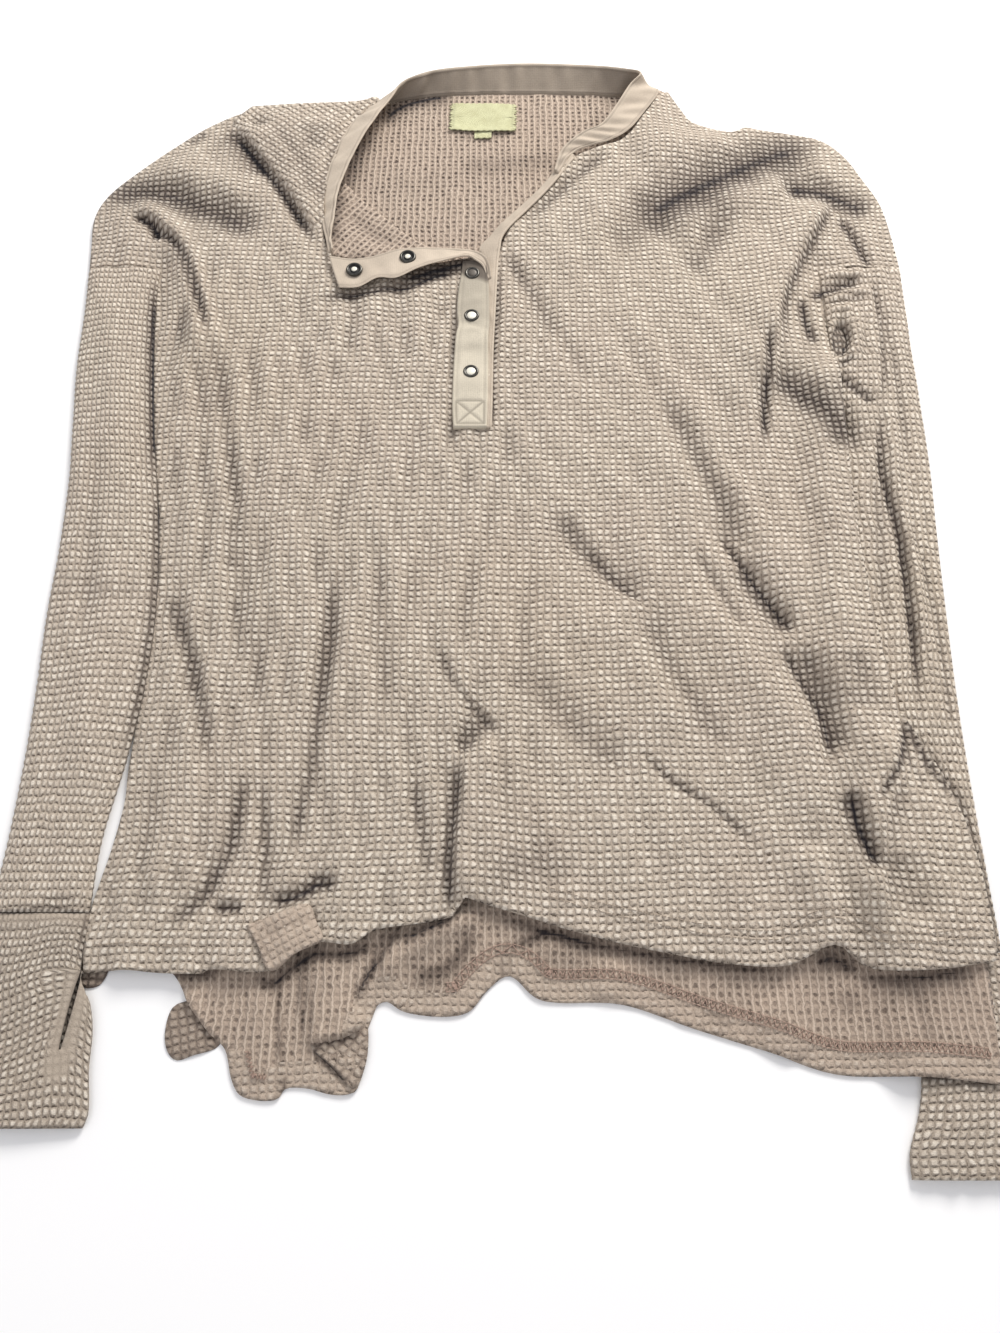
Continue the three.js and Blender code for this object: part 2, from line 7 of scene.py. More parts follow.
import bmesh
import bpy
import numpy as np
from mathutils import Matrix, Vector


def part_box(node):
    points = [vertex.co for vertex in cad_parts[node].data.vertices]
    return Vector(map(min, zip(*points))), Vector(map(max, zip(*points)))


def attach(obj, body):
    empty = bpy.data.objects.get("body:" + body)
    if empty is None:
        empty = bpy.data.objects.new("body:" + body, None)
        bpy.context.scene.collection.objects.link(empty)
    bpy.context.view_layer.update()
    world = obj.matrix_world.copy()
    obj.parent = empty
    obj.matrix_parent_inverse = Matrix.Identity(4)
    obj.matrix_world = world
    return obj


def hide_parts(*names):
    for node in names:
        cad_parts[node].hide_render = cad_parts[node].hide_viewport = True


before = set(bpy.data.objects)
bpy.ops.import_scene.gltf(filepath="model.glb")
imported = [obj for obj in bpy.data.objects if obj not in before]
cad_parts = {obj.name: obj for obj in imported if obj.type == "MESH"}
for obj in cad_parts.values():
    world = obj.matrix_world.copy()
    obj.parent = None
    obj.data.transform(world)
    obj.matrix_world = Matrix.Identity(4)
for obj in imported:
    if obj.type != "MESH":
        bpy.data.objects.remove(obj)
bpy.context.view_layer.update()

MM = 0.001
# Where the tables' zero lies in the frame: the front's left shoulder is at this x, its hem corner at this y.
FRONT_LEFT = -319.0
FRONT_LOW = 52.0
SHIFT_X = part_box("front")[0][0] / MM - FRONT_LEFT
SHIFT_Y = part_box("front")[0][1] / MM - FRONT_LOW

# Knit: one waffle cell, how proud its crown stands, how far the lines and corners between cells sink,
# and how far the wrong side's pits do.
CELL_WIDE = 4.8
CELL_TALL = 4.6
PROUD = 0.55
LINE_SUNK = 0.1
CORNER_SUNK = 0.35
PIT = 0.45
# Fine jersey: how far apart its ribs and its stitches are.
JERSEY_RIB = 1.3
JERSEY_STITCH = 1.6
# Cloth: its wall, the gap between two layers, how high the front lies inside its edges, how far in from
# them it rises, and how far a cut edge turns down.
WALL = 1.5
GAP = 0.4
FRONT_LIFT = 4.5
SIDE_ROLL = 16.0
HEM_EDGE = 1.5
# The body's grids are laid out from here.
BODY_PIVOT = (0, 300)


def put(points):
    """Table millimetres to frame metres."""
    points = np.asarray(points, float).copy()
    points[..., 0] += SHIFT_X
    points[..., 1] += SHIFT_Y
    return points * MM


# ---------------------------------------------------------------- camera, light and floor

CAMERA = {"x": 0.0, "y": 0.0, "z": 602.0, "tilt": 22.0, "lens": 27.04, "sensor": 36.0}


def add_camera():
    data = bpy.data.cameras.new("camera")
    data.lens = CAMERA["lens"]
    data.sensor_width = CAMERA["sensor"]
    data.clip_start = 0.01
    camera = bpy.data.objects.new("camera", data)
    camera.location = put([CAMERA["x"], CAMERA["y"], CAMERA["z"]])
    camera.rotation_euler = (math.radians(CAMERA["tilt"]), 0, 0)
    bpy.context.scene.collection.objects.link(camera)
    bpy.context.scene.camera = camera


LIGHTS = [
    {"name": "window", "at": (0.7, 1.5, 1.15), "size": 0.8, "watts": 44.0, "colour": (1.0, 0.98, 0.95)},
    {"name": "fill", "at": (-1.2, -0.7, 1.6), "size": 1.8, "watts": 6.5, "colour": (0.95, 0.96, 1.0)},
]
SKY = {"colour": (0.96, 0.96, 1.0), "strength": 0.6}
FLOOR_REACH = 4.0


def add_lights():
    for row in LIGHTS:
        data = bpy.data.lights.new(row["name"], "AREA")
        data.size = row["size"]
        data.energy = row["watts"]
        data.color = row["colour"]
        light = bpy.data.objects.new(row["name"], data)
        light.location = row["at"]
        light.rotation_euler = (-Vector(row["at"])).to_track_quat("-Z", "Y").to_euler()
        bpy.context.scene.collection.objects.link(light)
    world = bpy.data.worlds.new("sky")
    world.use_nodes = True
    back = world.node_tree.nodes["Background"]
    back.inputs["Color"].default_value = (*SKY["colour"], 1)
    back.inputs["Strength"].default_value = SKY["strength"]
    bpy.context.scene.world = world
    bpy.context.scene.view_settings.view_transform = "Standard"


def add_floor():
    mesh = bpy.data.meshes.new("floor")
    corners = [(x * FLOOR_REACH, y * FLOOR_REACH, 0) for x, y in ((-1, -1), (1, -1), (1, 1), (-1, 1))]
    mesh.from_pydata(corners, [], [(0, 1, 2, 3)])
    floor = bpy.data.objects.new("floor", mesh)
    bpy.context.scene.collection.objects.link(floor)
    floor.data.materials.append(plain_material("floor", (0.97, 0.965, 0.955), 0.9, grain=0.0))


# ---------------------------------------------------------------- materials

class Nodes:
    """Short hand for building a material's nodes."""

    def __init__(self, name):
        self.material = bpy.data.materials.new(name)
        self.material.use_nodes = True
        self.tree = self.material.node_tree
        self.shader = self.tree.nodes["Principled BSDF"]

    def add(self, kind, **values):
        node = self.tree.nodes.new(kind)
        for key, value in values.items():
            setattr(node, key, value)
        return node

    def link(self, source, target):
        self.tree.links.new(source, target)

    def feed(self, socket, value):
        if isinstance(value, (int, float)):
            socket.default_value = value
        else:
            self.link(value, socket)

    def math(self, operation, a, b=0.0):
        node = self.add("ShaderNodeMath", operation=operation)
        for socket, value in zip(node.inputs, (a, b)):
            self.feed(socket, value)
        return node.outputs[0]

    def plus(self, a, b):
        return self.math("ADD", a, b)

    def minus(self, a, b):
        return self.math("SUBTRACT", a, b)

    def times(self, a, b):
        return self.math("MULTIPLY", a, b)

    def size(self, a):
        return self.math("ABSOLUTE", a)

    def attribute(self, name):
        return self.add("ShaderNodeAttribute", attribute_name=name).outputs["Fac"]

    def knit_map(self):
        return self.add("ShaderNodeUVMap", uv_map="knit").outputs["UV"]

    def place(self):
        return self.add("ShaderNodeTexCoord").outputs["Object"]

    def split(self, vector):
        node = self.add("ShaderNodeSeparateXYZ")
        self.link(vector, node.inputs[0])
        return node.outputs

    def vector_math(self, operation, *values):
        node = self.add("ShaderNodeVectorMath", operation=operation)
        for socket, value in zip(node.inputs, values):
            if isinstance(value, tuple):
                socket.default_value = value
            else:
                self.link(value, socket)
        return node.outputs[0]

    def mix(self, share, a, b, blend="MIX"):
        node = self.add("ShaderNodeMix", data_type="RGBA", blend_type=blend)
        self.feed(node.inputs["Factor"], share)
        for socket, value in ((node.inputs[6], a), (node.inputs[7], b)):
            if isinstance(value, tuple):
                socket.default_value = (*value, 1)
            else:
                self.link(value, socket)
        return node.outputs[2]

    def ramp(self, value, low, high):
        node = self.add("ShaderNodeMapRange", interpolation_type="SMOOTHSTEP")
        self.feed(node.inputs["Value"], value)
        node.inputs["From Min"].default_value = low
        node.inputs["From Max"].default_value = high
        return node.outputs[0]

    def noise(self, vector, scale, detail=2.0, output="Fac"):
        node = self.add("ShaderNodeTexNoise")
        self.link(vector, node.inputs["Vector"])
        node.inputs["Scale"].default_value = scale
        node.inputs["Detail"].default_value = detail
        return node.outputs[output]

    def bump(self, height, distance, strength=1.0):
        node = self.add("ShaderNodeBump")
        node.inputs["Distance"].default_value = distance
        node.inputs["Strength"].default_value = strength
        self.link(height, node.inputs["Height"])
        self.link(node.outputs["Normal"], self.shader.inputs["Normal"])


def linear(red, green, blue):
    """A screen colour, 0 to 255, as the linear colour that a shader takes."""
    shares = [c / 255 for c in (red, green, blue)]
    return tuple(c / 12.92 if c <= 10 / 255 else ((c + 0.055) / 1.055) ** 2.4 for c in shares)


CLOTH = {
    # The cells' painted highlight (crown), their ground, and the painted shade under and between them
    # (groove); the hem's ground; the wrong side's painted highlight on its ribs (rib), its ground, and the
    # painted shade in its pits (pit).
    "crown": linear(235, 225, 209),
    "ground": linear(187, 173, 156),
    "groove": linear(92, 80, 69),
    "hem": linear(182, 165, 148),
    "rib": linear(203, 186, 168),
    "inside": linear(178, 160, 143),
    "pit": linear(80, 66, 58),
    "plain": linear(208, 193, 174),
    "placket": linear(217, 207, 187),
    # Painted shade: the colour that the painted shade darkens towards, and the near black of its darkest
    # parts.
    "shadow": (0.1, 0.08, 0.085),
    "painted_deep_shade": (0.012, 0.011, 0.016),
    "label": linear(206, 205, 163),
    "label_worn": linear(193, 191, 148),
    "label_weft": linear(190, 185, 140),
    "thread_inside": linear(186, 158, 142),
    "thread_outside": linear(176, 160, 143),
}


# How the cells stray from an even grid: scale of the drift, and how many cells it reaches.
CELL_DRIFTS = [(0.33, 0.5), (1.3, 0.5), (3.1, 0.2)]


def knit_cells(n):
    """Where a point lies in its cell, from -1 to 1 each way, and a number that differs from cell to cell."""
    cells = n.knit_map()
    moved = cells
    for scale, reach in CELL_DRIFTS:
        drift = n.noise(cells, scale, 1.0, "Color")
        half = -reach / 2
        centred = n.vector_math("MULTIPLY_ADD", drift, (reach, reach, 0), (half, half, 0))
        moved = n.vector_math("ADD", moved, centred)
    apart = n.split(moved)
    across, up = (n.times(n.minus(n.math("FRACT", apart[axis]), 0.5), 2.0) for axis in (0, 1))
    odd = n.add("ShaderNodeTexWhiteNoise", noise_dimensions="2D")
    n.link(n.vector_math("FLOOR", moved), odd.inputs["Vector"])
    return across, up, odd.outputs["Value"]


def oval(n, across, up, centre, size):
    """One at an oval's middle, nothing outside it."""
    a = n.math("DIVIDE", n.minus(across, centre[0]), size[0])
    b = n.math("DIVIDE", n.minus(up, centre[1]), size[1])
    square = n.plus(n.times(a, a), n.times(b, b))
    return n.ramp(square, 1.0, 0.05)


def knit_material(name, wrong_side=False, ground=None, glow=1.0):
    """Waffle knit. Its cells follow the sheet's own columns and rows, kept in the map called knit."""
    n = Nodes(name)
    across, up, odd = knit_cells(n)
    place = n.place()
    fuzz = n.noise(place, 1300.0, 3.0)
    side = n.size(across)
    lively = n.minus(1.0, n.attribute("calm"))
    grain = n.times(n.minus(fuzz, 0.5), 0.9)
    patchy = n.ramp(n.noise(place, 420.0, 2.0), 0.36, 0.64)
    if wrong_side:
        # Painted shade in the pits (hollow) and in a thin line beside each rib, and a painted highlight on
        # the ribs (light).
        hollow = oval(n, across, up, (0, 0), (0.56, 0.8))
        hollow = n.times(hollow, n.plus(0.5, n.times(odd, 0.6)))
        hollow = n.times(hollow, lively)
        line = n.times(n.ramp(n.size(n.minus(side, 0.6)), 0.22, 0.0), 0.3)
        light = n.plus(n.times(n.ramp(side, 0.6, 0.95), 0.75), grain)
        dark = n.minus(n.plus(n.times(hollow, 0.8), line), n.times(grain, 0.4))
        height = n.minus(n.times(n.ramp(side, 0.35, 0.95), 0.5), hollow)
        base, painted_highlight, groove = CLOTH["inside"], CLOTH["rib"], CLOTH["pit"]
        keep = n.minus(0.6, n.times(hollow, 0.6))
    else:
        # Painted light on each cell: a painted highlight over its crown (glint), a painted shadow under it
        # (under) and painted shade in the lines between columns (gap); crown is the bump's height and what
        # the painted fold shade spares.
        crown = n.times(n.ramp(side, 1.0, 0.3), n.ramp(n.size(up), 1.0, 0.25))
        glint = oval(n, across, up, (-0.06, 0.14), (0.9, 0.82))
        glint = n.times(glint, n.plus(0.32 * glow, n.times(odd, 0.5 * glow)))
        under = n.times(n.ramp(up, -0.5, -0.92), n.ramp(side, 1.0, 0.4))
        under = n.times(under, n.plus(0.45, n.times(patchy, 0.6)))
        gap = n.times(n.ramp(side, 0.74, 1.0), n.plus(0.1, n.times(patchy, 0.5)))
        light = n.plus(n.times(glint, lively), n.times(grain, 0.85))
        dark = n.times(n.math("MAXIMUM", under, gap), lively)
        dark = n.minus(dark, n.times(grain, 0.9))
        height = n.times(crown, lively)
        base, painted_highlight, groove = CLOTH["ground"], CLOTH["crown"], CLOTH["groove"]
        keep = crown
    colour = n.mix(n.ramp(light, 0.0, 1.0), ground or base, painted_highlight)
    colour = n.mix(n.ramp(dark, 0.0, 1.0), colour, groove)
    drift = n.ramp(n.noise(place, 8.0, 3.0), 0.35, 0.68)
    colour = n.mix(n.times(drift, 0.14), colour, (0.88, 0.8, 0.82), "MULTIPLY")
    warm = n.ramp(n.noise(place, 4.5, 2.0), 0.5, 0.75)
    colour = n.mix(n.times(warm, 0.16), colour, (1.0, 0.95, 0.82), "MULTIPLY")
    n.link(shaded(n, colour, keep), n.shader.inputs["Base Color"])
    n.shader.inputs["Roughness"].default_value = 0.96
    n.shader.inputs["Sheen Weight"].default_value = 0.1
    n.shader.inputs["Sheen Roughness"].default_value = 0.6
    n.shader.inputs["Specular IOR Level"].default_value = 0.12
    n.bump(n.plus(height, n.times(fuzz, 0.5)), 0.0011, 0.9)
    return n.material


def shaded(n, colour, keep=0.0):
    """Painted shade for deep folds: the painted shade kept on the sheet as an attribute darkens the colour
    towards a shadow colour, the crowns least, and takes its darkest parts to near black.
    """
    depth = n.attribute("depth")
    spared = n.times(keep, n.minus(0.78, n.times(depth, 0.38)))
    share = n.times(depth, n.minus(1.0, spared))
    shade = n.mix(share, colour, CLOTH["shadow"], "MULTIPLY")
    return n.mix(n.times(n.ramp(depth, 0.92, 1.0), 0.92), shade, CLOTH["painted_deep_shade"])


def plain_knit_material(name, colour):
    """Fine jersey: thin ribs along the strip, a soft crosswise grain and a little wear."""
    n = Nodes(name)
    apart = n.split(n.knit_map())
    place = n.place()
    rib = n.size(n.minus(n.math("FRACT", apart[0]), 0.5))
    stitch = n.size(n.minus(n.math("FRACT", apart[1]), 0.5))
    fuzz = n.noise(place, 1100.0, 3.0)
    cloud = n.noise(place, 60.0, 3.0)
    tone = n.plus(n.times(rib, 0.25), n.times(stitch, 0.15))
    tone = n.plus(tone, n.plus(n.times(fuzz, 0.5), n.times(cloud, 0.45)))
    dark = tuple(c * 0.72 for c in colour)
    mixed = n.mix(n.ramp(tone, 0.25, 0.95), dark, colour)
    n.link(shaded(n, mixed), n.shader.inputs["Base Color"])
    n.shader.inputs["Roughness"].default_value = 0.92
    n.shader.inputs["Sheen Weight"].default_value = 0.1
    n.shader.inputs["Specular IOR Level"].default_value = 0.15
    n.bump(n.plus(tone, n.times(cloud, 1.2)), 0.0005, 0.6)
    return n.material


def plain_material(name, colour, roughness, metallic=0.0, grain=0.3):
    n = Nodes(name)
    place = n.place()
    speck = n.noise(place, 700.0, 3.0)
    dark = tuple(c * (1 - grain) for c in colour)
    n.link(n.mix(n.ramp(speck, 0.3, 0.7), dark, colour), n.shader.inputs["Base Color"])
    n.shader.inputs["Roughness"].default_value = roughness
    n.shader.inputs["Metallic"].default_value = metallic
    if grain:
        n.bump(speck, 0.0001, 0.4)
    return n.material


# ---------------------------------------------------------------- outlines and folds, in plan

LEFT_SHOULDER = [
    (-119, 745), (-160, 744), (-205, 740), (-237, 723), (-264, 699), (-291, 671), (-311, 646),
    (-319, 622), (-317, 592), (-315, 569),
]
LEFT_SIDE = [
    (-263, 569), (-260, 520), (-252, 460), (-243, 400), (-233.5, 350), (-228.5, 300), (-227.5, 250),
    (-229, 205), (-230, 172), (-229.5, 152), (-233, 125), (-238.5, 98), (-241, 84), (-241.5, 66),
    (-239, 52),
]
FRONT_HEM_LEFT = [
    (-239, 52), (-215, 53.5), (-196, 52), (-172, 51.5), (-164, 54), (-132, 53), (-112, 68), (-100, 69),
    (-85, 68), (-72, 76), (-50, 79), (-28, 83),
]
FRONT_HEM_RIGHT = [
    (-20, 94), (20, 82), (50, 73), (90, 64), (130, 57), (165, 56), (192, 67), (213, 54), (245, 53),
    (283, 58),
]
BACK_HEM_LEFT = [
    (-236, 62), (-193, 55), (-176, 34), (-164, 20), (-154, 11), (-149.5, -3), (-144, -12), (-134, -15),
    (-123, -14.5), (-118.5, -9), (-106.5, -9), (-94, -12), (-84, -12), (-78.5, -8), (-76, 8), (-75, 21),
]
BACK_HEM_RIGHT = [
    (-70, 35), (-64, 36.5), (-54, 31), (-34, 28.5), (-18, 31), (-8, 42), (2, 50), (9, 49), (20, 39),
    (34, 36), (70, 35), (110, 22), (150, 10), (188, -2), (235, -3), (275, -7),
]
BACK_SLIT = [(275, -7), (278, 60), (274, 120), (262, 170), (249, 205)]
FRONT_SLIT = [(283, 58), (283, 100), (279, 135), (271, 162), (262, 184), (251, 206)]
RIGHT_SIDE = [(249, 206), (244, 260), (241, 320), (242, 400), (244.6, 460), (245, 520), (245, 569)]
RIGHT_SHOULDER = [
    (307, 569), (305, 604), (301, 636), (291, 662), (279, 688), (262, 706), (238, 713), (214, 718),
    (202, 721), (188, 716), (160, 726), (150, 742), (141, 762),
]
BACK_NECK = [(134, 767), (107, 763), (60, 765), (0, 765), (-60, 762), (-92, 755), (-104, 752)]
FRONT_NECK_RIGHT = [
    (134, 760), (121, 735), (107, 712), (91, 698), (60, 684), (40, 653), (22, 628), (7, 606), (0, 586),
]
FRONT_NECK_LEFT = [
    (-7, 580), (-60, 572), (-100, 562), (-134, 590), (-140, 610), (-142, 636), (-139, 668), (-131, 703),
    (-119, 730),
]
# The lapel: cloth beside the neck that lies over the chest, its fold running down to the placket.
LAPEL = [
    (-221, 722), (-192, 684), (-165, 641), (-137, 588), (-136.5, 610), (-138, 636), (-135, 668),
    (-127, 702), (-115, 729), (-100, 748), (-104, 752), (-119, 746.5), (-160, 744), (-205, 740),
]
LAPEL_FOLD = [(-221, 722), (-192, 684), (-165, 641), (-137, 588)]
UNDER_LAPEL = [(-204, 738), (-176, 690), (-149, 645), (-134, 590)]

BODY_EDGES = [LEFT_SHOULDER, LEFT_SIDE, RIGHT_SIDE, RIGHT_SHOULDER, FRONT_SLIT]

# Folds of the front: name, rise in mm, spread on the left and right hand of the path, how dark its
# painted shade is, path.
FRONT_FOLDS = [
    ("lapel valley", -3, 5, 5, 1, [(-226, 722), (-198, 684), (-170, 641), (-141, 590)]),
    ("lapel valley high", -3, 10, 12, 0.75, [(-226, 716), (-208, 693), (-188, 662)]),
    ("left shoulder hollow", -6, 18, 17, 0.93,
     [(-314, 629), (-305, 644), (-286, 649), (-263, 645), (-234, 631), (-204, 617), (-180, 606)]),
    ("left shoulder crest", 4, 16, 20, 0, [(-300, 668), (-262, 668), (-226, 652), (-196, 634)]),
    ("left underarm ridge", 7, 12, 8, 0, [(-292, 636), (-266, 618), (-244, 580), (-226, 520), (-216, 470)]),
    ("left underarm pinch", -5, 3.5, 4.5, 0.8,
     [(-284, 620), (-267, 607), (-248, 590), (-235, 565), (-223, 531), (-214, 508)]),
    ("left underarm line", -2.5, 3, 3, 0.7,
     [(-262, 606), (-250, 588), (-238, 560), (-226, 532), (-214, 500)]),
    ("left underarm knot", -4, 3.6, 3.6, 1,
     [(-289, 620), (-280, 618), (-271, 613), (-267, 602), (-266, 594)]),
    ("left flank shade", -2, 6, 6, 0.3, [(-214, 506), (-206, 470), (-202, 430)]),
    ("shoulder nick", -3, 6, 7, 0.65, [(-208, 718), (-198, 722), (-190, 716)]),
    ("shoulder tick", -2, 5, 5, 0.4, [(-254, 700), (-240, 715)]),
    ("right shoulder hollow", -7, 24, 25, 0.96,
     [(96, 610), (116, 623), (141, 643), (172, 661), (204, 679), (237, 692), (268, 688)]),
    ("right shoulder hollow low", -1, 18, 16, 0.4, [(80, 590), (116, 612), (150, 630), (190, 650)]),
    ("right shoulder crest", 5, 24, 16, 0, [(120, 606), (164, 628), (210, 644), (238, 652)]),
    ("collar slope", 4, 20, 22, 0, [(110, 690), (150, 700), (186, 706)]),
    ("right chest shade", -3, 13, 13, 0.42, [(184, 636), (164, 598), (144, 560)]),
    ("right shoulder pit", -7, 15, 14, 0.95, [(220, 650), (244, 650), (262, 644), (296, 624)]),
    ("right underarm fold", 8, 5, 26, 0, [(262, 642), (238, 598), (216, 552), (202, 508), (192, 440)]),
    ("right underarm line", -2.5, 3, 3, 0.5, [(264, 636), (242, 596), (219, 550), (206, 508)]),
    ("upper flank pleat", -3, 4, 5, 0.6, [(200, 512), (196, 480), (190, 450), (188, 412)]),
    ("flank line", -3, 2.5, 3, 0.85, [(198, 508), (197, 480), (193, 456), (189, 430), (186, 405)]),
    ("right flank trough high", -3.5, 9, 9, 0.35, [(118, 452), (138, 404), (154, 360), (163, 318)]),
    ("right flank trough", -6, 7, 9, 0.6, [(160, 314), (174, 286), (191, 262)]),
    ("right flank line", -3, 2.8, 2.8, 0.97, [(148, 338), (160, 316), (171, 297), (181, 280), (192, 262)]),
    ("right flank trough low", -5, 7, 10, 0.6, [(193, 256), (200, 232), (207, 206), (210, 178)]),
    ("right flank line low", -3, 2.8, 2.8, 0.9, [(181, 256), (195, 226), (203, 204), (205, 172)]),
    ("right flank trough hem", -6, 5, 9, 0.65, [(212, 158), (216, 132), (224, 106)]),
    ("right flank line hem", -3, 2.8, 2.8, 0.97, [(212, 160), (215, 133), (222, 108)]),
    ("right flank crest", 5, 18, 14, 0, [(150, 400), (180, 330), (208, 268), (226, 214)]),
    ("right middle crest", 4, 18, 18, 0, [(130, 300), (156, 250), (182, 190), (196, 120)]),
    ("slit fold", 5, 14, 4, 0, [(216, 72), (226, 136), (237, 164), (249, 203)]),
    ("slit fold line", -3, 2.8, 2.8, 0.95, [(224, 148), (229, 154), (241, 171), (249, 190), (252, 206)]),
    ("slit panel line", -2.5, 2.6, 2.6, 0.85, [(252, 206), (260, 181), (274, 152)]),
    ("slit rib one", -1.2, 2, 2, 0.6, [(252, 196), (258, 178), (264, 162)]),
    ("slit rib two", -1.2, 2, 2, 0.55, [(247, 186), (252, 170), (258, 156)]),
    ("slit panel hollow", -2, 16, 14, 0.25, [(236, 120), (240, 80)]),
    ("side hollow", -2.5, 16, 16, 0.3, [(226, 250), (226, 206)]),
    ("hem arch", 6, 11, 11, 0, [(193, 58), (192, 90), (186, 130)]),
    ("hem step", 7, 26, 4, 0, [(-16, 200), (-22, 160), (-26, 120), (-22, 86)]),
    ("hem step line", -3.5, 4, 4, 0.8, [(-24, 176), (-28, 140), (-30, 112), (-30, 84)]),
    ("centre dimple", -4, 9, 9, 0.5, [(-28, 184), (-16, 196), (-4, 204)]),
    ("centre dimple line", -2, 3, 3, 0.45, [(-40, 256), (-30, 230), (-12, 208), (2, 195)]),
    ("left of step", -2.5, 5, 5, 0.4, [(-54, 166), (-47, 134), (-40, 104)]),
    ("left long trough", -4, 6, 6, 0.5, [(-108, 330), (-111, 270), (-114, 204), (-120, 150), (-130, 106)]),
    ("left long crest", 3, 10, 14, 0, [(-94, 320), (-96, 240), (-102, 150)]),
    ("left hem trough", -4.5, 6, 6, 0.65, [(-157, 172), (-162, 124), (-175, 96), (-194, 74)]),
    ("left hem crest", 3, 12, 10, 0, [(-186, 180), (-196, 130), (-214, 90)]),
    ("left hem crease", -2.5, 4, 4, 0.35, [(-146, 168), (-140, 110), (-138, 84)]),
    ("pinch short", -4, 4, 4, 0.85, [(-168, 88), (-150, 88)]),
    ("pinch long", -5, 5, 5, 0.95, [(-137, 90), (-118, 96), (-106, 103), (-94, 99)]),
    ("tab side", -2, 3, 3, 0.4, [(-112, 92), (-104, 74)]),
    ("left valley branch", -4, 6, 6, 0.5, [(-224, 298), (-206, 262), (-191, 222), (-180, 178)]),
    ("left ripple one", -2.5, 6, 6, 0.3,
     [(-210, 494), (-196, 434), (-180, 360), (-166, 292), (-154, 236), (-145, 180)]),
    ("left ripple two", -2, 5, 5, 0.3, [(-184, 352), (-180, 306)]),
    ("left ripple three", -2, 5, 5, 0.2, [(-176, 292), (-165, 238)]),
    ("left ripple four", -1.6, 7, 7, 0.15, [(-226, 484), (-212, 440), (-202, 384), (-188, 330)]),
    ("left ripple five", -1.5, 7, 7, 0.12, [(-82, 360), (-76, 270), (-64, 196)]),
    ("left ripple six", 2, 12, 12, 0, [(-148, 420), (-140, 330), (-132, 240)]),
    ("middle trough", -4, 9, 9, 0.5, [(38, 356), (62, 318), (84, 299), (98, 290)]),
    ("middle line", -2, 3, 3, 0.6, [(58, 326), (72, 308), (87, 292), (100, 284)]),
    ("middle trough low", -3, 10, 9, 0.35, [(94, 288), (106, 250), (126, 212), (146, 178)]),
    ("middle crest", 3.5, 20, 20, 0, [(60, 290), (84, 240), (108, 190)]),
    ("middle slope", -2.5, 14, 14, 0.3, [(4, 246), (40, 206), (78, 168)]),
    ("thin crease", -2.2, 2.6, 2.6, 0.65, [(84, 188), (104, 166), (130, 148), (154, 125)]),
    ("flank crease", -2, 4, 4, 0.3, [(130, 326), (145, 296), (160, 264)]),
    ("placket crease one", -2, 6, 6, 0.3, [(2, 588), (20, 548), (42, 498)]),
    ("placket crease two", -1.6, 7, 7, 0.18, [(4, 586), (34, 530), (66, 458)]),
    ("neckline shade", -3, 6, 8, 0.45, [(88, 690), (66, 668), (44, 644), (22, 616)]),
    ("neckline crest", 3, 12, 12, 0, [(112, 664), (80, 620), (44, 560)]),
    ("under the open strip", -0.5, 6, 4, 1,
     [(-140, 536), (-120, 540), (-100, 543), (-86, 546), (-68, 549), (-55, 556), (-44, 561), (-20, 568)]),
    ("under the strip's fold", -0.5, 9, 7, 1, [(-80, 555), (-60, 561), (-46, 567), (-30, 571), (-12, 577)]),
    ("beside the placket", -1.5, 2.2, 2.2, 0.85,
     [(-1, 582), (-1.8, 540), (-3.6, 500), (-5, 460), (-5.6, 412)]),
    ("beside the placket left", -1, 2, 2, 0.45, [(-31, 556), (-34.5, 500), (-36, 424)]),
    ("hem hollow", -2, 14, 12, 0.3, [(-8, 104), (24, 112), (44, 104)]),
]

# The lapel's own relief: highest along its fold, lower towards the neckband.
LAPEL_FOLDS = [
    ("fold", 7, 30, 30, 0, [(-214, 722), (-184, 682), (-157, 640), (-138, 600)]),
    ("hollow", -3, 10, 10, 0.5, [(-190, 722), (-170, 698), (-154, 664), (-144, 630)]),
    ("pit", -2, 8, 8, 0.5, [(-160, 704), (-140, 698)]),
    ("seam shade", -1, 6, 6, 0.4, [(-170, 716), (-150, 714), (-128, 716)]),
    ("band shade", 0, 5, 5, 0.45, [(-128, 716), (-134, 690), (-139, 655), (-139, 620)]),
    ("hollow two", -2, 6, 6, 0.35, [(-196, 706), (-180, 682), (-164, 654)]),
    ("nick", -3, 6, 7, 0.6, [(-206, 720), (-197, 723), (-190, 716)]),
]

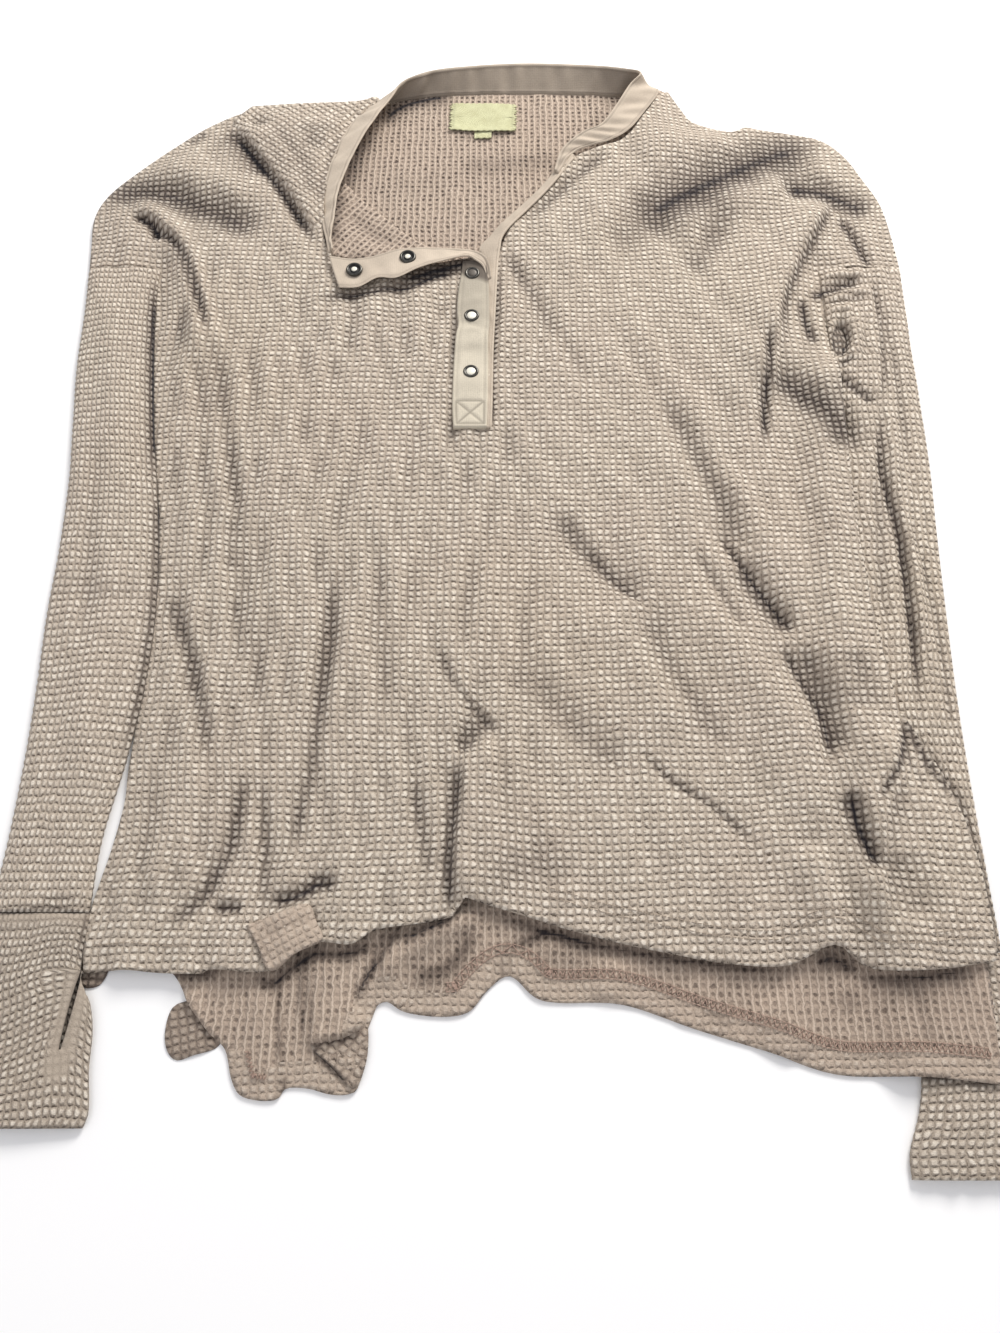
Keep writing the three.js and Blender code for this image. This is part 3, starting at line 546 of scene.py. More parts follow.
# The back's own relief where it shows: inside the neck, and below the front's hem.
BACK_FOLDS = [
    ("neck shade", 1.5, 12, 10, 0.4, [(-34, 680), (8, 682), (54, 690)]),
    ("neck shade left", 1, 14, 14, 0.15, [(-104, 662), (-60, 666), (-30, 674)]),
    ("neck left", 0, 9, 9, 0.8, [(-104, 724), (-116, 690), (-125, 650), (-128, 604)]),
    ("neck top left", 0, 7, 10, 1, [(-96, 722), (-88, 742), (-66, 754), (-36, 760)]),
    ("neck top", 0, 3, 3, 0.6, [(-60, 762), (0, 765), (60, 765), (110, 762)]),
    ("neck right", 0, 9, 9, 0.25, [(104, 748), (84, 730), (60, 700)]),
    ("label shade", 0, 3, 4, 0.55, [(-40, 713), (-14, 713), (12, 716)]),
    ("corner lip", 5, 15, 1.5, 0, [(-110, 16), (-94, 17.5), (-84, 21), (-73, 28)]),
    ("corner inside", 0, 4, 5, 0.95, [(-101, 12.5), (-90, 13), (-77, 17)]),
    ("corner hem", 2, 5, 3, 0.15, [(-98, 9), (-88, 5), (-79, 1)]),
    ("corner gap", -1, 1.6, 2, 1, [(-106, 12), (-96, 3), (-81, -7)]),
    ("hem roll", 5, 8, 6, 0, [(-68, 44), (-60, 60), (-44, 70), (-22, 81), (-13, 92)]),
    ("hem roll valley", -2, 5, 6, 0.9, [(-52, 50), (-34, 54), (-24, 62), (-14, 78)]),
    ("hem roll shade", 0, 10, 8, 0.4, [(-56, 46), (-34, 50), (-20, 62)]),
    ("below hem dark", 0, 4, 5, 1, [(-60, 69), (-44, 76), (-26, 84)]),
    ("below hem left", 0, 5, 4.5, 1, [(-112, 62), (-104, 62), (-94, 62), (-80, 65), (-70, 68)]),
    ("below hem far left", 0, 3, 3, 1, [(-197, 50), (-180, 51), (-160, 52)]),
    ("below tab", 0, 4, 4, 1, [(-144, 49), (-138, 49), (-130, 46), (-118, 56), (-100, 68)]),
    ("rib dark one", -1, 1.9, 1.9, 0.9, [(-117, 72), (-116, 64), (-114, 42), (-111, 16)]),
    ("rib dark two", -1, 1.8, 1.8, 0.7, [(-113, 72), (-112, 64), (-109.5, 43), (-105, 16)]),
    ("rib step", -2, 2, 1.2, 0.9, [(-129, 60), (-128, 52), (-126, 30), (-122, -4)]),
    ("rib dark three", -1.5, 2.8, 2.8, 1, [(-56, 84), (-62, 73), (-70, 59), (-77, 49), (-84, 36)]),
    ("rib dark four", -1, 2.2, 2.2, 0.85, [(-64, 80), (-69, 71), (-75, 54), (-82, 36)]),
    ("rib swell", 2, 9, 9, 0, [(-100, 62), (-98, 40), (-97, 24)]),
    ("rib swell left", 2, 9, 9, 0, [(-140, 46), (-136, 20), (-132, -8)]),
    ("left edge rise", 2, 8, 4, 0, [(-182, 42), (-172, 30), (-160, 16)]),
    ("notch", -1.5, 2.5, 2.5, 0.7, [(-120, -12), (-121, -2)]),
    ("below hem two", 0, 3, 3.5, 1, [(-16, 90), (16, 79), (52, 69), (88, 62), (140, 55), (176, 54)]),
    ("below arch", 0, 6, 6, 1, [(182, 56), (192, 60), (206, 52)]),
    ("below hem three", 0, 3.5, 4, 1, [(204, 52), (226, 48), (272, 54)]),
    ("hem hollow", 1.5, 12, 10, 0.35, [(16, 66), (36, 62), (54, 58)]),
    ("hem curl", -2, 3, 4, 0.97, [(4, 66), (17, 71), (29, 74.5), (44, 71), (56, 66)]),
    ("hem hollow two", 0, 9, 9, 0.5, [(196, 44), (202, 30)]),
    ("hem shadow soft", 0, 9, 9, 0.3, [(214, 44), (250, 44), (274, 46)]),
    ("hem ripple one", 3, 9, 9, 0, [(60, 36), (66, 60)]),
    ("hem ripple two", -2, 5, 5, 0.35, [(2, 48), (4, 70)]),
    ("hem ripple three", -1.5, 4, 4, 0.35, [(110, 40), (132, 22)]),
    ("hem ripple four", -1, 5, 5, 0.35, [(236, 44), (240, 10)]),
    ("hem ripple five", 3, 14, 12, 0, [(170, 6), (150, 40)]),
]

# Round the right underarm, on the body and the sleeve alike.
UNDERARM_FOLDS = [
    ("hole rim right", 2.5, 4, 4, 0, [(262, 527), (264, 506), (260, 488), (252, 478)]),
    ("hole rim top", 2.5, 4, 4, 0, [(242, 527), (252, 530), (264, 526)]),
    ("hole rim left", 2, 3, 3, 0, [(240, 522), (240, 504), (242, 486)]),
    ("sliver", -3, 2.5, 2.5, 1, [(247, 477), (252, 480), (259, 486)]),
    ("blotch", -3, 5.5, 5.5, 0.98, [(232, 541), (239, 544), (250, 548), (266, 554), (274, 556)]),
    ("rib one", 2.5, 4, 4, 0, [(236, 560), (256, 562), (280, 560)]),
    ("rib two", 2.2, 3.5, 3.5, 0, [(242, 541), (258, 543), (280, 546)]),
    ("rib gap", -1.5, 2.5, 2.5, 0.45, [(244, 535), (262, 537), (280, 540)]),
    ("pit one", -4, 4, 4.5, 0.95, [(229, 541), (228, 524), (231, 508), (234, 498)]),
    ("pit ridge", 3, 4, 4, 0, [(235, 540), (236, 520), (241, 500)]),
    ("patch", -4.5, 17, 15, 0.93, [(196, 474), (203, 468), (219, 451), (235, 428), (246, 398)]),
    ("patch line", -2, 3, 3, 0.4, [(240, 462), (246, 440), (250, 412)]),
    ("small", -2.5, 5, 5, 0.92, [(243, 471), (248, 466), (257, 456), (270, 443)]),
    ("dots", -3, 5, 5, 0.93, [(265, 622), (269, 613), (276, 594), (283, 568)]),
    ("seam high", -2, 2, 2, 0.6, [(282, 560), (283, 530), (282, 500), (279, 470), (273, 440)]),
]

# The gap under the right arm, its inside painted black as deep shade: middle, half width and height, lean of
# its axis, how far it sinks.
UNDERARM_HOLE = ((252.0, 501.5), (7.2, 16.5), 0.13, 7.0)

SLEEVE_FOLDS = [
    *UNDERARM_FOLDS,
    ("right crease", -4.5, 3, 3, 0.95,
     [(274, 442), (268, 412), (266, 380), (270, 330), (268, 256), (264, 205)]),
    ("right crease ridge", 2.5, 4, 4, 0, [(280, 440), (274, 400), (273, 360), (276, 320), (274, 250)]),
    ("right crease two", -2, 4, 4, 0.35, [(262, 384), (257, 330), (252, 270)]),
    ("right crease three", -1.6, 3, 3, 0.35, [(284, 560), (288, 480), (286, 390)]),
    ("right crease four", -1.6, 3, 3, 0.3, [(284, 330), (286, 260), (283, 190)]),
    ("right crest", 2, 6, 6, 0, [(276, 430), (276, 330), (275, 220)]),
    ("left upper crest", 2, 10, 10, 0, [(-292, 556), (-284, 480), (-270, 400)]),
    ("left trough", -2, 7, 7, 0.2, [(-284, 420), (-276, 330), (-268, 250)]),
    ("left lower crest", 2, 12, 12, 0, [(-256, 330), (-258, 240), (-262, 160)]),
    ("left inner shade", -1, 5, 5, 1, [(-262, 569), (-259, 520), (-253, 470), (-246, 420), (-238, 370)]),
    ("left inner shade low", -1, 4, 4, 0.8,
     [(-240, 390), (-232, 330), (-228, 280), (-229, 220), (-234, 170)]),
    ("left inner shade cuff", 0, 3, 3, 0.7, [(-240, 92), (-242, 74), (-241, 56)]),
    ("left elbow", -1.5, 10, 10, 0.12, [(-296, 300), (-262, 290), (-236, 296)]),
    ("left cuff seam", -1.2, 2, 2, 0.75, [(-299, 83), (-280, 86), (-262, 88), (-241, 85)]),
    ("left cuff seam two", -0.8, 1.6, 1.6, 0.5, [(-270, 93), (-256, 94), (-242, 91)]),
    ("left cuff gather", -1.5, 6, 6, 0.25, [(-300, 74), (-284, 76), (-268, 80)]),
    ("hem shade", 0, 6, 6, 0.9, [(228, -2), (250, -3), (278, -6)]),
    ("slit shade", 0, 4, 4, 0.7, [(256, 200), (270, 172), (280, 150), (286, 104), (286, 58)]),
]

LEFT_TUBE = [
    (568.6, -260.5, -315, 8), (530, -258.5, -312, 9), (480, -253.5, -310, 9), (430, -247, -305, 9),
    (380, -238.5, -300, 9), (330, -231, -298, 9), (280, -226.5, -298, 9), (230, -226.5, -296, 9),
    (180, -231.5, -295, 9), (130, -239.5, -296, 8.5), (86, -240.5, -299, 8),
]
LEFT_CUFF = [
    (85.5, -240, -300, 7.5), (50, -240.5, -302.5, 7), (36, -233, -303, 7), (20, -229, -304, 7),
    (0, -228, -304, 7), (-20, -225, -304, 7), (-29, -227, -303, 6.5),
]
RIGHT_TUBE = [
    (568.6, 243.5, 307, 8), (540, 244, 305.5, 9), (520, 244, 305, 9), (500, 244, 304, 9),
    (475, 243, 303.5, 9), (440, 237, 303, 8.5), (390, 230, 301.5, 8), (340, 227, 298, 7.5),
    (280, 226, 294.5, 7.5), (210, 226, 291, 7.5), (140, 227, 290, 7.5), (64, 229, 290.5, 7.5),
]
RIGHT_CUFF = [
    (63.5, 229, 291, 7), (30, 231, 293, 6.5), (0, 233, 293, 6.5), (-20, 229, 292, 6.5),
    (-40, 221, 290, 6.5), (-54, 220, 289, 6),
]


# ---------------------------------------------------------------- plan geometry

def curve(points, pieces=6):
    """A smooth run through a table's points, in any number of dimensions."""
    points = np.asarray(points, float)
    padded = np.vstack([2 * points[0] - points[1], points, 2 * points[-1] - points[-2]])
    t = np.linspace(0, 1, pieces, endpoint=False)[:, None]
    runs = []
    for a, b, c, d in zip(padded, padded[1:], padded[2:], padded[3:]):
        square, cube = 2 * a - 5 * b + 4 * c - d, 3 * b - a - 3 * c + d
        runs.append(0.5 * (2 * b + (c - a) * t + square * t**2 + cube * t**3))
    return np.vstack([*runs, points[-1:]])


def run_length(points):
    """How far along a run each of its points lies."""
    return np.concatenate([[0], np.cumsum(np.linalg.norm(np.diff(points, axis=0), axis=1))])


def nearest(path, x, y):
    """How far each point is from a path, on which hand, and how far along it as a share."""
    path = np.asarray(path, float)
    steps = np.diff(path, axis=0)
    lengths = np.hypot(steps[:, 0], steps[:, 1])
    before = np.concatenate([[0], np.cumsum(lengths)])
    far = np.full(x.shape, 1e9)
    hand = np.zeros(x.shape)
    along = np.zeros(x.shape)
    for (ax, ay), (sx, sy), length, start in zip(path, steps, lengths, before):
        ux, uy = sx / length, sy / length
        reach = np.clip((x - ax) * ux + (y - ay) * uy, 0, length)
        gone = np.hypot(x - ax - reach * ux, y - ay - reach * uy)
        closer = gone < far
        far = np.where(closer, gone, far)
        hand = np.where(closer, ux * (y - ay) - uy * (x - ax), hand)
        along = np.where(closer, (start + reach) / before[-1], along)
    return far, np.sign(hand), along


def smeared(values, reach, axis):
    """The running mean along an axis, this many steps to either hand."""
    pad = [(reach + 1, reach) if k == axis else (0, 0) for k in (0, 1)]
    total = np.cumsum(np.pad(values, pad, mode="edge"), axis=axis)
    size = 2 * reach + 1
    ahead = np.take(total, np.arange(size, total.shape[axis]), axis=axis)
    behind = np.take(total, np.arange(total.shape[axis] - size), axis=axis)
    return (ahead - behind) / size


def smooth(low, high, value):
    """From 0 at low to 1 at high, level at both ends."""
    t = np.clip((value - low) / (high - low), 0, 1)
    return t * t * (3 - 2 * t)


def inside(outline, x, y):
    """Which points lie in a closed outline."""
    result = np.zeros(x.shape, bool)
    for (ax, ay), (bx, by) in zip(outline, np.roll(outline, -1, axis=0)):
        if ay == by:
            continue
        crosses = ((ay > y) != (by > y)) & (x < (bx - ax) * (y - ay) / (by - ay) + ax)
        result ^= crosses
    return result


def section_edge(rows, y, column):
    """A column of a tube's table at any y."""
    table = np.asarray(rows, float)[::-1]
    return np.interp(y, table[:, 0], table[:, column])


class Relief:
    """Heights and painted shade over the plan, on a one-millimetre raster."""

    # How far a fold is felt and how wide its painted shade is, in spreads, and where along it its ends fade.
    REACH = 2.6
    CORE = 0.92
    FADE = (-0.03, 0.2)

    def __init__(self, low, high):
        self.x0, self.y0 = low
        self.xs = np.arange(low[0], high[0] + 1.0)
        self.ys = np.arange(low[1], high[1] + 1.0)
        self.x, self.y = np.meshgrid(self.xs, self.ys)
        self.height = np.zeros(self.x.shape)
        self.depth = np.zeros(self.x.shape)

    def fold(self, rise, left, right, dark, path):
        path = curve(path, 5)
        reach = self.REACH * max(left, right)
        low = np.maximum(path.min(0) - reach - (self.x0, self.y0), 0).astype(int)
        high = (path.max(0) + reach - (self.x0, self.y0)).astype(int) + 1
        window = (slice(low[1], max(high[1], low[1])), slice(low[0], max(high[0], low[0])))
        if not self.x[window].size:
            return
        far, hand, along = nearest(path, self.x[window], self.y[window])
        spread = np.where(hand > 0, left, right)
        fade = smooth(*self.FADE, along) * smooth(*self.FADE, 1 - along)
        form = np.exp(-((far / spread) ** 2)) * fade
        self.height[window] += rise * form
        core = np.exp(-((far / (self.CORE * spread)) ** 2)) * fade
        self.depth[window] = 1 - (1 - self.depth[window]) * (1 - dark * core)

    def pit(self, middle, half, lean, sink):
        """A steep-sided hole, oval in plan, with painted shade that goes to black inside it."""
        across, up = self.x - middle[0], self.y - middle[1]
        c, s = math.cos(lean), math.sin(lean)
        share = np.hypot((across * c - up * s) / half[0], (across * s + up * c) / half[1])
        form = 1 - smooth(0.72, 1.08, share)
        self.height -= sink * form
        self.depth = np.maximum(self.depth, form)

    def folds(self, rows):
        for _, rise, left, right, dark, path in rows:
            self.fold(rise, left, right, dark, path)

    def hollows(self, reach, share):
        """Paints shade into what lies lower than the cloth around it."""
        mean = smeared(smeared(self.height, reach, 0), reach, 1)
        dark = np.clip((mean - self.height) * share, 0, 0.6)
        self.depth = 1 - (1 - self.depth) * (1 - dark)

    def ripples(self, seed, tall, wide, long, turn=0.0):
        """Soft uneven waves, longer up the garment than across it."""
        rng = np.random.default_rng(seed)
        total = np.zeros(self.x.shape)
        for _ in range(14):
            length = rng.uniform(0.7, 1.6)
            slant = turn + rng.normal(0, 0.3)
            phase = rng.uniform(0, 2 * math.pi, 2)
            sway = 9 * np.sin(self.y / (long * 0.8) + phase[1])
            total += np.sin((self.x + slant * self.y + sway) * 2 * math.pi / (wide * length) + phase[0])
        self.height += tall * total / 4

    def sample(self, grid, x, y):
        i = np.clip(x - self.x0, 0, len(self.xs) - 1.001)
        j = np.clip(y - self.y0, 0, len(self.ys) - 1.001)
        a, b = i.astype(int), j.astype(int)
        u, v = i - a, j - b
        top = grid[b, a] * (1 - u) + grid[b, a + 1] * u
        low = grid[b + 1, a] * (1 - u) + grid[b + 1, a + 1] * u
        return top * (1 - v) + low * v

    def z(self, x, y):
        return self.sample(self.height, x, y)

    def dark(self, x, y):
        return self.sample(self.depth, x, y)


def back_under(x, y):
    """Underside of the back: on the ground, then up over the right sleeve."""
    rows = RIGHT_TUBE + RIGHT_CUFF
    inner = section_edge(rows, y, 1)
    high = section_edge(rows, y, 3) + GAP + 0.4
    return high * smooth(inner - 26, inner - 4, x) * (1 - smooth(462, 500, y))


def body_relief():
    relief = Relief((-330, -20), (320, 775))
    x, y = relief.x, relief.y
    relief.folds(FRONT_FOLDS)
    relief.folds(UNDERARM_FOLDS)
    left_half = (1 - smooth(-20, 60, x)) * (1 - smooth(520, 620, y))
    relief.ripples(5, 0.5, 46, 90)
    relief.ripples(11, 1.3 * left_half, 25, 120)
    relief.ripples(17, 0.8 * (1 - left_half), 36, 70, turn=0.5)
    relief.hollows(9, 0.3)
    far = np.full(x.shape, 1e9)
    for edge in BODY_EDGES:
        far = np.minimum(far, nearest(edge, x, y)[0])
    held = 1 - np.exp(-((far / SIDE_ROLL) ** 2))
    floor = back_under(x, y) * 1.12 + 2 * WALL + GAP
    relief.height = floor + np.maximum(0.2, FRONT_LIFT + relief.height) * held
    return relief


def back_relief():
    relief = Relief((-330, -30), (320, 775))
    relief.folds(BACK_FOLDS)
    relief.ripples(23, 0.35, 30, 80)
    relief.hollows(7, 0.12)
    relief.height = back_under(relief.x, relief.y) + WALL + np.maximum(relief.height, 0)
    hidden = smooth(110, 160, relief.y) * (1 - smooth(560, 600, relief.y))
    relief.height -= hidden * 0.3
    return relief


# ---------------------------------------------------------------- sheets

class Sheet:
    """A grid of cloth laid over a relief, its columns and rows evenly spaced along the cloth itself."""

    def __init__(self, relief, box, pivot=BODY_PIVOT, turn=0.0, sway=0.0):
        self.relief = relief
        self.pivot = np.asarray(pivot, float)
        self.turn = turn
        (a0, b0), (a1, b1) = box
        pitch_a, pitch_b = CELL_WIDE / 2, CELL_TALL / 2
        a = np.arange(a0, a1 + 1.0)
        b = np.arange(b0, b1 + 1.0)
        x, y = self.to_plan(*np.meshgrid(a, b))
        z = relief.z(x, y)
        run = smeared(np.hypot(1.0, np.diff(z, axis=1)), 28, 0)
        length = np.concatenate([np.zeros((len(b), 1)), np.cumsum(run, axis=1)], axis=1)
        middle = int(np.clip(-a0, 0, len(a) - 1))
        length -= length[:, middle : middle + 1]
        first = math.ceil(length[:, 0].min() / pitch_a)
        last = math.floor(length[:, -1].max() / pitch_a)
        self.columns = np.arange(first, last + 1)
        wanted = self.columns * pitch_a
        across = np.array([np.interp(wanted, row, a) for row in length])
        up = np.repeat(b[:, None], len(wanted), axis=1)
        x, y = self.to_plan(across, up)
        z = relief.z(x, y)
        step = smeared(np.sqrt(1.0 + np.diff(z, axis=0) ** 2), 12, 1)
        length = np.concatenate([np.zeros((1, len(wanted))), np.cumsum(step, axis=0)], axis=0)
        middle = int(np.clip(-b0, 0, len(b) - 1))
        length -= length[middle]
        first = math.ceil(length[0].min() / pitch_b)
        last = math.floor(length[-1].max() / pitch_b)
        self.rows = np.arange(first, last + 1)
        wanted = self.rows * pitch_b
        up = np.array([np.interp(wanted, length[:, k], b) for k in range(len(self.columns))]).T
        across = np.array([np.interp(up[:, k], b, across[:, k]) for k in range(len(self.columns))]).T
        if sway:
            across, up = across + sway * wave(across, up, 1), up + sway * wave(across, up, 2)
        self.x, self.y = self.to_plan(across, up)

    def to_plan(self, a, b):
        c, s = math.cos(self.turn), math.sin(self.turn)
        return self.pivot[0] + a * c - b * s, self.pivot[1] + a * s + b * c

    def cut(self, outline):
        """Keeps the quads inside the outline and draws their edge onto it."""
        outline = np.asarray(outline, float)
        x, y = self.x, self.y
        cx = (x[:-1, :-1] + x[1:, 1:] + x[:-1, 1:] + x[1:, :-1]) / 4
        cy = (y[:-1, :-1] + y[1:, 1:] + y[:-1, 1:] + y[1:, :-1]) / 4
        self.kept = kept = inside(outline, cx, cy)
        count = np.zeros(x.shape, int)
        for dy in (0, 1):
            for dx in (0, 1):
                count[dy : dy + kept.shape[0], dx : dx + kept.shape[1]] += kept
        edge = (count > 0) & (count < 4)
        ring = np.vstack([outline, outline[:1]])
        px, py = closest(ring, x[edge], y[edge])
        reach = np.hypot(px - x[edge], py - y[edge])
        ok = reach < 1.1 * CELL_WIDE
        x[edge] = np.where(ok, px, x[edge])
        y[edge] = np.where(ok, py, y[edge])
        qx, qy = closest(ring, x, y)
        self.from_edge = np.hypot(qx - x, qy - y)
        return self


def closest(ring, x, y):
    """The nearest point of a closed outline to each point."""
    best = np.full(x.shape, 1e9)
    px, py = x.copy(), y.copy()
    for (ax, ay), (bx, by) in zip(ring, ring[1:]):
        length = math.hypot(bx - ax, by - ay)
        if length < 1e-6:
            continue
        ux, uy = (bx - ax) / length, (by - ay) / length
        reach = np.clip((x - ax) * ux + (y - ay) * uy, 0, length)
        qx, qy = ax + reach * ux, ay + reach * uy
        gone = np.hypot(x - qx, y - qy)
        closer = gone < best
        best = np.where(closer, gone, best)
        px = np.where(closer, qx, px)
        py = np.where(closer, qy, py)
    return px, py


def wave(x, y, kind):
    """A slow drift of the rows and columns, as a soft knit has."""
    across = np.sin(x / 31 + 1.3 * kind + 0.7 * np.sin(y / 57))
    return across * np.cos(y / 43 - 0.9 * kind + 0.5 * np.sin(x / 39))


def grid_normals(points):
    """Each grid point's normal, from its neighbours along the rows and columns."""
    du = np.gradient(points, axis=1)
    dv = np.gradient(points, axis=0)
    normal = np.cross(du, dv)
    return normal / np.maximum(np.linalg.norm(normal, axis=-1, keepdims=True), 1e-9)


def cell_relief(columns, rows, wrong_side):
    """Crowns at cell centres, or pits on the wrong side."""
    odd = (columns[None, :] % 2 != 0).astype(float) + (rows[:, None] % 2 != 0).astype(float)
    if wrong_side:
        return np.where(odd == 2, -PIT, 0.0)
    return np.where(odd == 2, PROUD, np.where(odd == 1, -LINE_SUNK, -CORNER_SUNK))


def sheet_arrays(sheet, wrong_side=False, edge=HEM_EDGE):
    """A cut sheet as vertices, faces, knit coordinates and painted shade."""
    x, y = sheet.x, sheet.y
    points = np.dstack([x, y, sheet.relief.z(x, y)])
    normal = grid_normals(points)
    normal[normal[..., 2] < 0] *= -1
    proud = cell_relief(sheet.columns, sheet.rows, wrong_side) * smooth(-1, 4, sheet.from_edge)
    points = points + normal * proud[..., None]
    quads = quad_grid(*x.shape)[sheet.kept.ravel()]
    knit = np.dstack(np.meshgrid(sheet.columns / 2.0, sheet.rows / 2.0)).reshape(-1, 2)
    depth = sheet.relief.dark(x, y).reshape(-1)
    vertices = points.reshape(-1, 3)
    if edge:
        vertices, quads, knit, depth = with_edge(vertices, quads, knit, depth, edge)
    used, quads = np.unique(quads, return_inverse=True)
    return vertices[used], quads.reshape(-1, 4), knit[used], depth[used]


def with_edge(vertices, quads, knit, depth, drop):
    """Turns the cut edge down by the cloth's thickness."""
    sides = np.concatenate([quads[:, [k, (k + 1) % 4]] for k in range(4)])
    key = np.sort(sides, axis=1)
    _, index, times = np.unique(key, axis=0, return_index=True, return_counts=True)
    rim = sides[index[times == 1]]
    ends = np.unique(rim)
    lower = np.full(len(vertices), -1)
    lower[ends] = len(vertices) + np.arange(len(ends))
    down = vertices[ends] - [0, 0, drop]
    down[:, 2] = np.maximum(down[:, 2], 0.2)
    walls = np.stack([rim[:, 1], rim[:, 0], lower[rim[:, 0]], lower[rim[:, 1]]], axis=1)
    # The walls get 0.25 more painted shade than the cloth's edge above them, up to full.
    return (
        np.vstack([vertices, down]),
        np.vstack([quads, walls]),
        np.vstack([knit, knit[ends]]),
        np.concatenate([depth, np.minimum(depth[ends] + 0.25, 1)]),
    )


def join(*parts):
    """Several vertex-and-face sets as one."""
    start = 0
    vertices, faces, knit, depth = [], [], [], []
    for v, f, k, d in parts:
        vertices.append(v)
        faces.append(f + start)
        knit.append(k)
        depth.append(d)
        start += len(v)
    return np.vstack(vertices), np.vstack(faces), np.vstack(knit), np.concatenate(depth)


def make_object(name, arrays, materials, faces_material=None, closed=False, calm=None):
    """A named mesh with its knit map, its painted shade and calm for the materials, riding on the root."""
    vertices, faces, knit, depth = arrays
    mesh = bpy.data.meshes.new(name)
    mesh.vertices.add(len(vertices))
    mesh.vertices.foreach_set("co", put(vertices).astype(np.float32).ravel())
    mesh.loops.add(faces.size)
    mesh.loops.foreach_set("vertex_index", faces.astype(np.int32).ravel())
    mesh.polygons.add(len(faces))
    mesh.polygons.foreach_set("loop_start", np.arange(0, faces.size, 4, dtype=np.int32))
    mesh.update(calc_edges=True)
    mesh.validate()
    if closed:
        shell = bmesh.new()
        shell.from_mesh(mesh)
        bmesh.ops.recalc_face_normals(shell, faces=shell.faces)
        shell.to_mesh(mesh)
        shell.free()
    mesh.polygons.foreach_set("use_smooth", np.ones(len(mesh.polygons), bool))
    corners = np.zeros(len(mesh.loops), np.int32)
    mesh.loops.foreach_get("vertex_index", corners)
    layer = mesh.uv_layers.new(name="knit")
    layer.data.foreach_set("uv", knit[corners].astype(np.float32).ravel())
    for kind, values in (("depth", np.clip(depth, 0, 1)), ("calm", calm)):
        if values is not None:
            mesh.attributes.new(kind, "FLOAT", "POINT").data.foreach_set("value", values.astype(np.float32))
    for material in materials:
        mesh.materials.append(material)
    if faces_material is not None:
        mesh.polygons.foreach_set("material_index", faces_material.astype(np.int32))
    obj = bpy.data.objects.new(name, mesh)
    bpy.context.scene.collection.objects.link(obj)
    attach(obj, "root")
    return obj


def quad_grid(rows, columns, round_across=False):
    """The quads of a grid of points, joined from its last column to its first where it goes round."""
    number = np.arange(rows * columns).reshape(rows, columns)
    if round_across:
        number = np.concatenate([number, number[:, :1]], axis=1)
    corners = [number[:-1, :-1], number[:-1, 1:], number[1:, 1:], number[1:, :-1]]
    return np.stack(corners, axis=-1).reshape(-1, 4)


# ---------------------------------------------------------------- body

def outline_of(*runs):
    """A closed outline from its runs, each smooth in itself."""
    return np.vstack([curve(run, 5) for run in runs])


def patch(outline, height, turn, folds=(), wrong_side=False, edge=HEM_EDGE, dim=0.0):
    """A small piece of the same cloth lying at its own angle: a turned corner or a flipped hem."""
    outline = curve(outline + outline[:1], 4)[:-1]
    low, high = outline.min(0) - 6, outline.max(0) + 6
    relief = Relief(low, high)
    relief.folds(folds)
    relief.height += height(relief.x, relief.y)
    relief.depth = np.maximum(relief.depth, dim)
    reach = math.ceil(np.hypot(*(high - low)) / 2)
    sheet = Sheet(relief, ((-reach, -reach), (reach, reach)), pivot=outline.mean(0), turn=turn).cut(outline)
    return sheet_arrays(sheet, wrong_side=wrong_side, edge=edge)


# The front hem's flipped tab, and the left front's inner face that the open neck shows.
TAB_TOP = [(-147, 78), (-113, 91)]
TAB_FOLDS = [
    ("tab shade", 0, 4, 4, 0.35, [(-142, 74), (-133, 58)]),
    ("tab rows", -1, 2, 2, 0.35, [(-140, 72), (-106, 84)]),
]
TAB = [(-147, 78), (-130, 85), (-113, 91), (-107, 81), (-102, 70), (-116, 63), (-130.5, 52.5), (-139, 66)]
INNER_FACE = [
    (-124, 659), (-130, 640), (-132, 606), (-129, 582), (-96, 577), (-58, 584), (-44, 586), (-56, 593),
    (-72, 604), (-88, 620), (-106, 637),
]
INNER_FOLDS = [
    ("band shade", 0, 7, 7, 0.85, [(-126, 650), (-130, 620), (-130, 590)]),
    ("strip shade", 0, 4, 4, 0.5, [(-122, 582), (-96, 580), (-60, 588)]),
    ("hollow", -1.5, 7, 7, 0.35, [(-120, 626), (-100, 606), (-80, 594)]),
]
# The outside face that shows within the back hem's folded corner.
FOLDED_CORNER = [
    (-107.2, 15.3), (-97, 17.2), (-85, 20), (-75.5, 25), (-73.9, 10.3), (-76, -1), (-79, -8), (-84, -8),
    (-92.6, 0.7), (-103.3, 9.4),
]
FOLDED_CORNER_FOLDS = [
    ("under the lip", 0, 4, 4.5, 0.95, [(-108, 14.5), (-97, 15.5), (-85, 17.5), (-76, 22)]),
    ("low edge", 0, 1.8, 1.8, 1, [(-108, 14), (-101, 8), (-92, 0), (-82, -9)]),
    ("right side", 0, 4, 4, 0.5, [(-74, 20), (-75, 6), (-78, -6)]),
]
# The back's small corners, right side out: outline, height, ripple, turn in degrees, shade, edge and folds.
BACK_CORNERS = [
    ([(-175, 38), (-186, 34), (-189, 22), (-187, 11), (-181, 5.5), (-172, 8), (-158, 13), (-160, 24)],
     0.9, 0.4, 12, 0.5, 0.6, [("under the back", 0, 4, 4, 0.9, [(-174, 34), (-166, 22), (-159, 13)])]),
    ([(-247, 60), (-244.5, 48), (-237, 44), (-229, 46.5), (-226, 58), (-236, 66)], 0.9, 0, 0, 0.75, 0.6, []),
    (FOLDED_CORNER, 2.6, 0, -35, 0.3, 0.8, FOLDED_CORNER_FOLDS),
]
HEM_ALLOWANCE = 13.5
# How far the cells fade on turned cloth; near the back's hem they fade a little less.
TURNED_CALM = 0.36


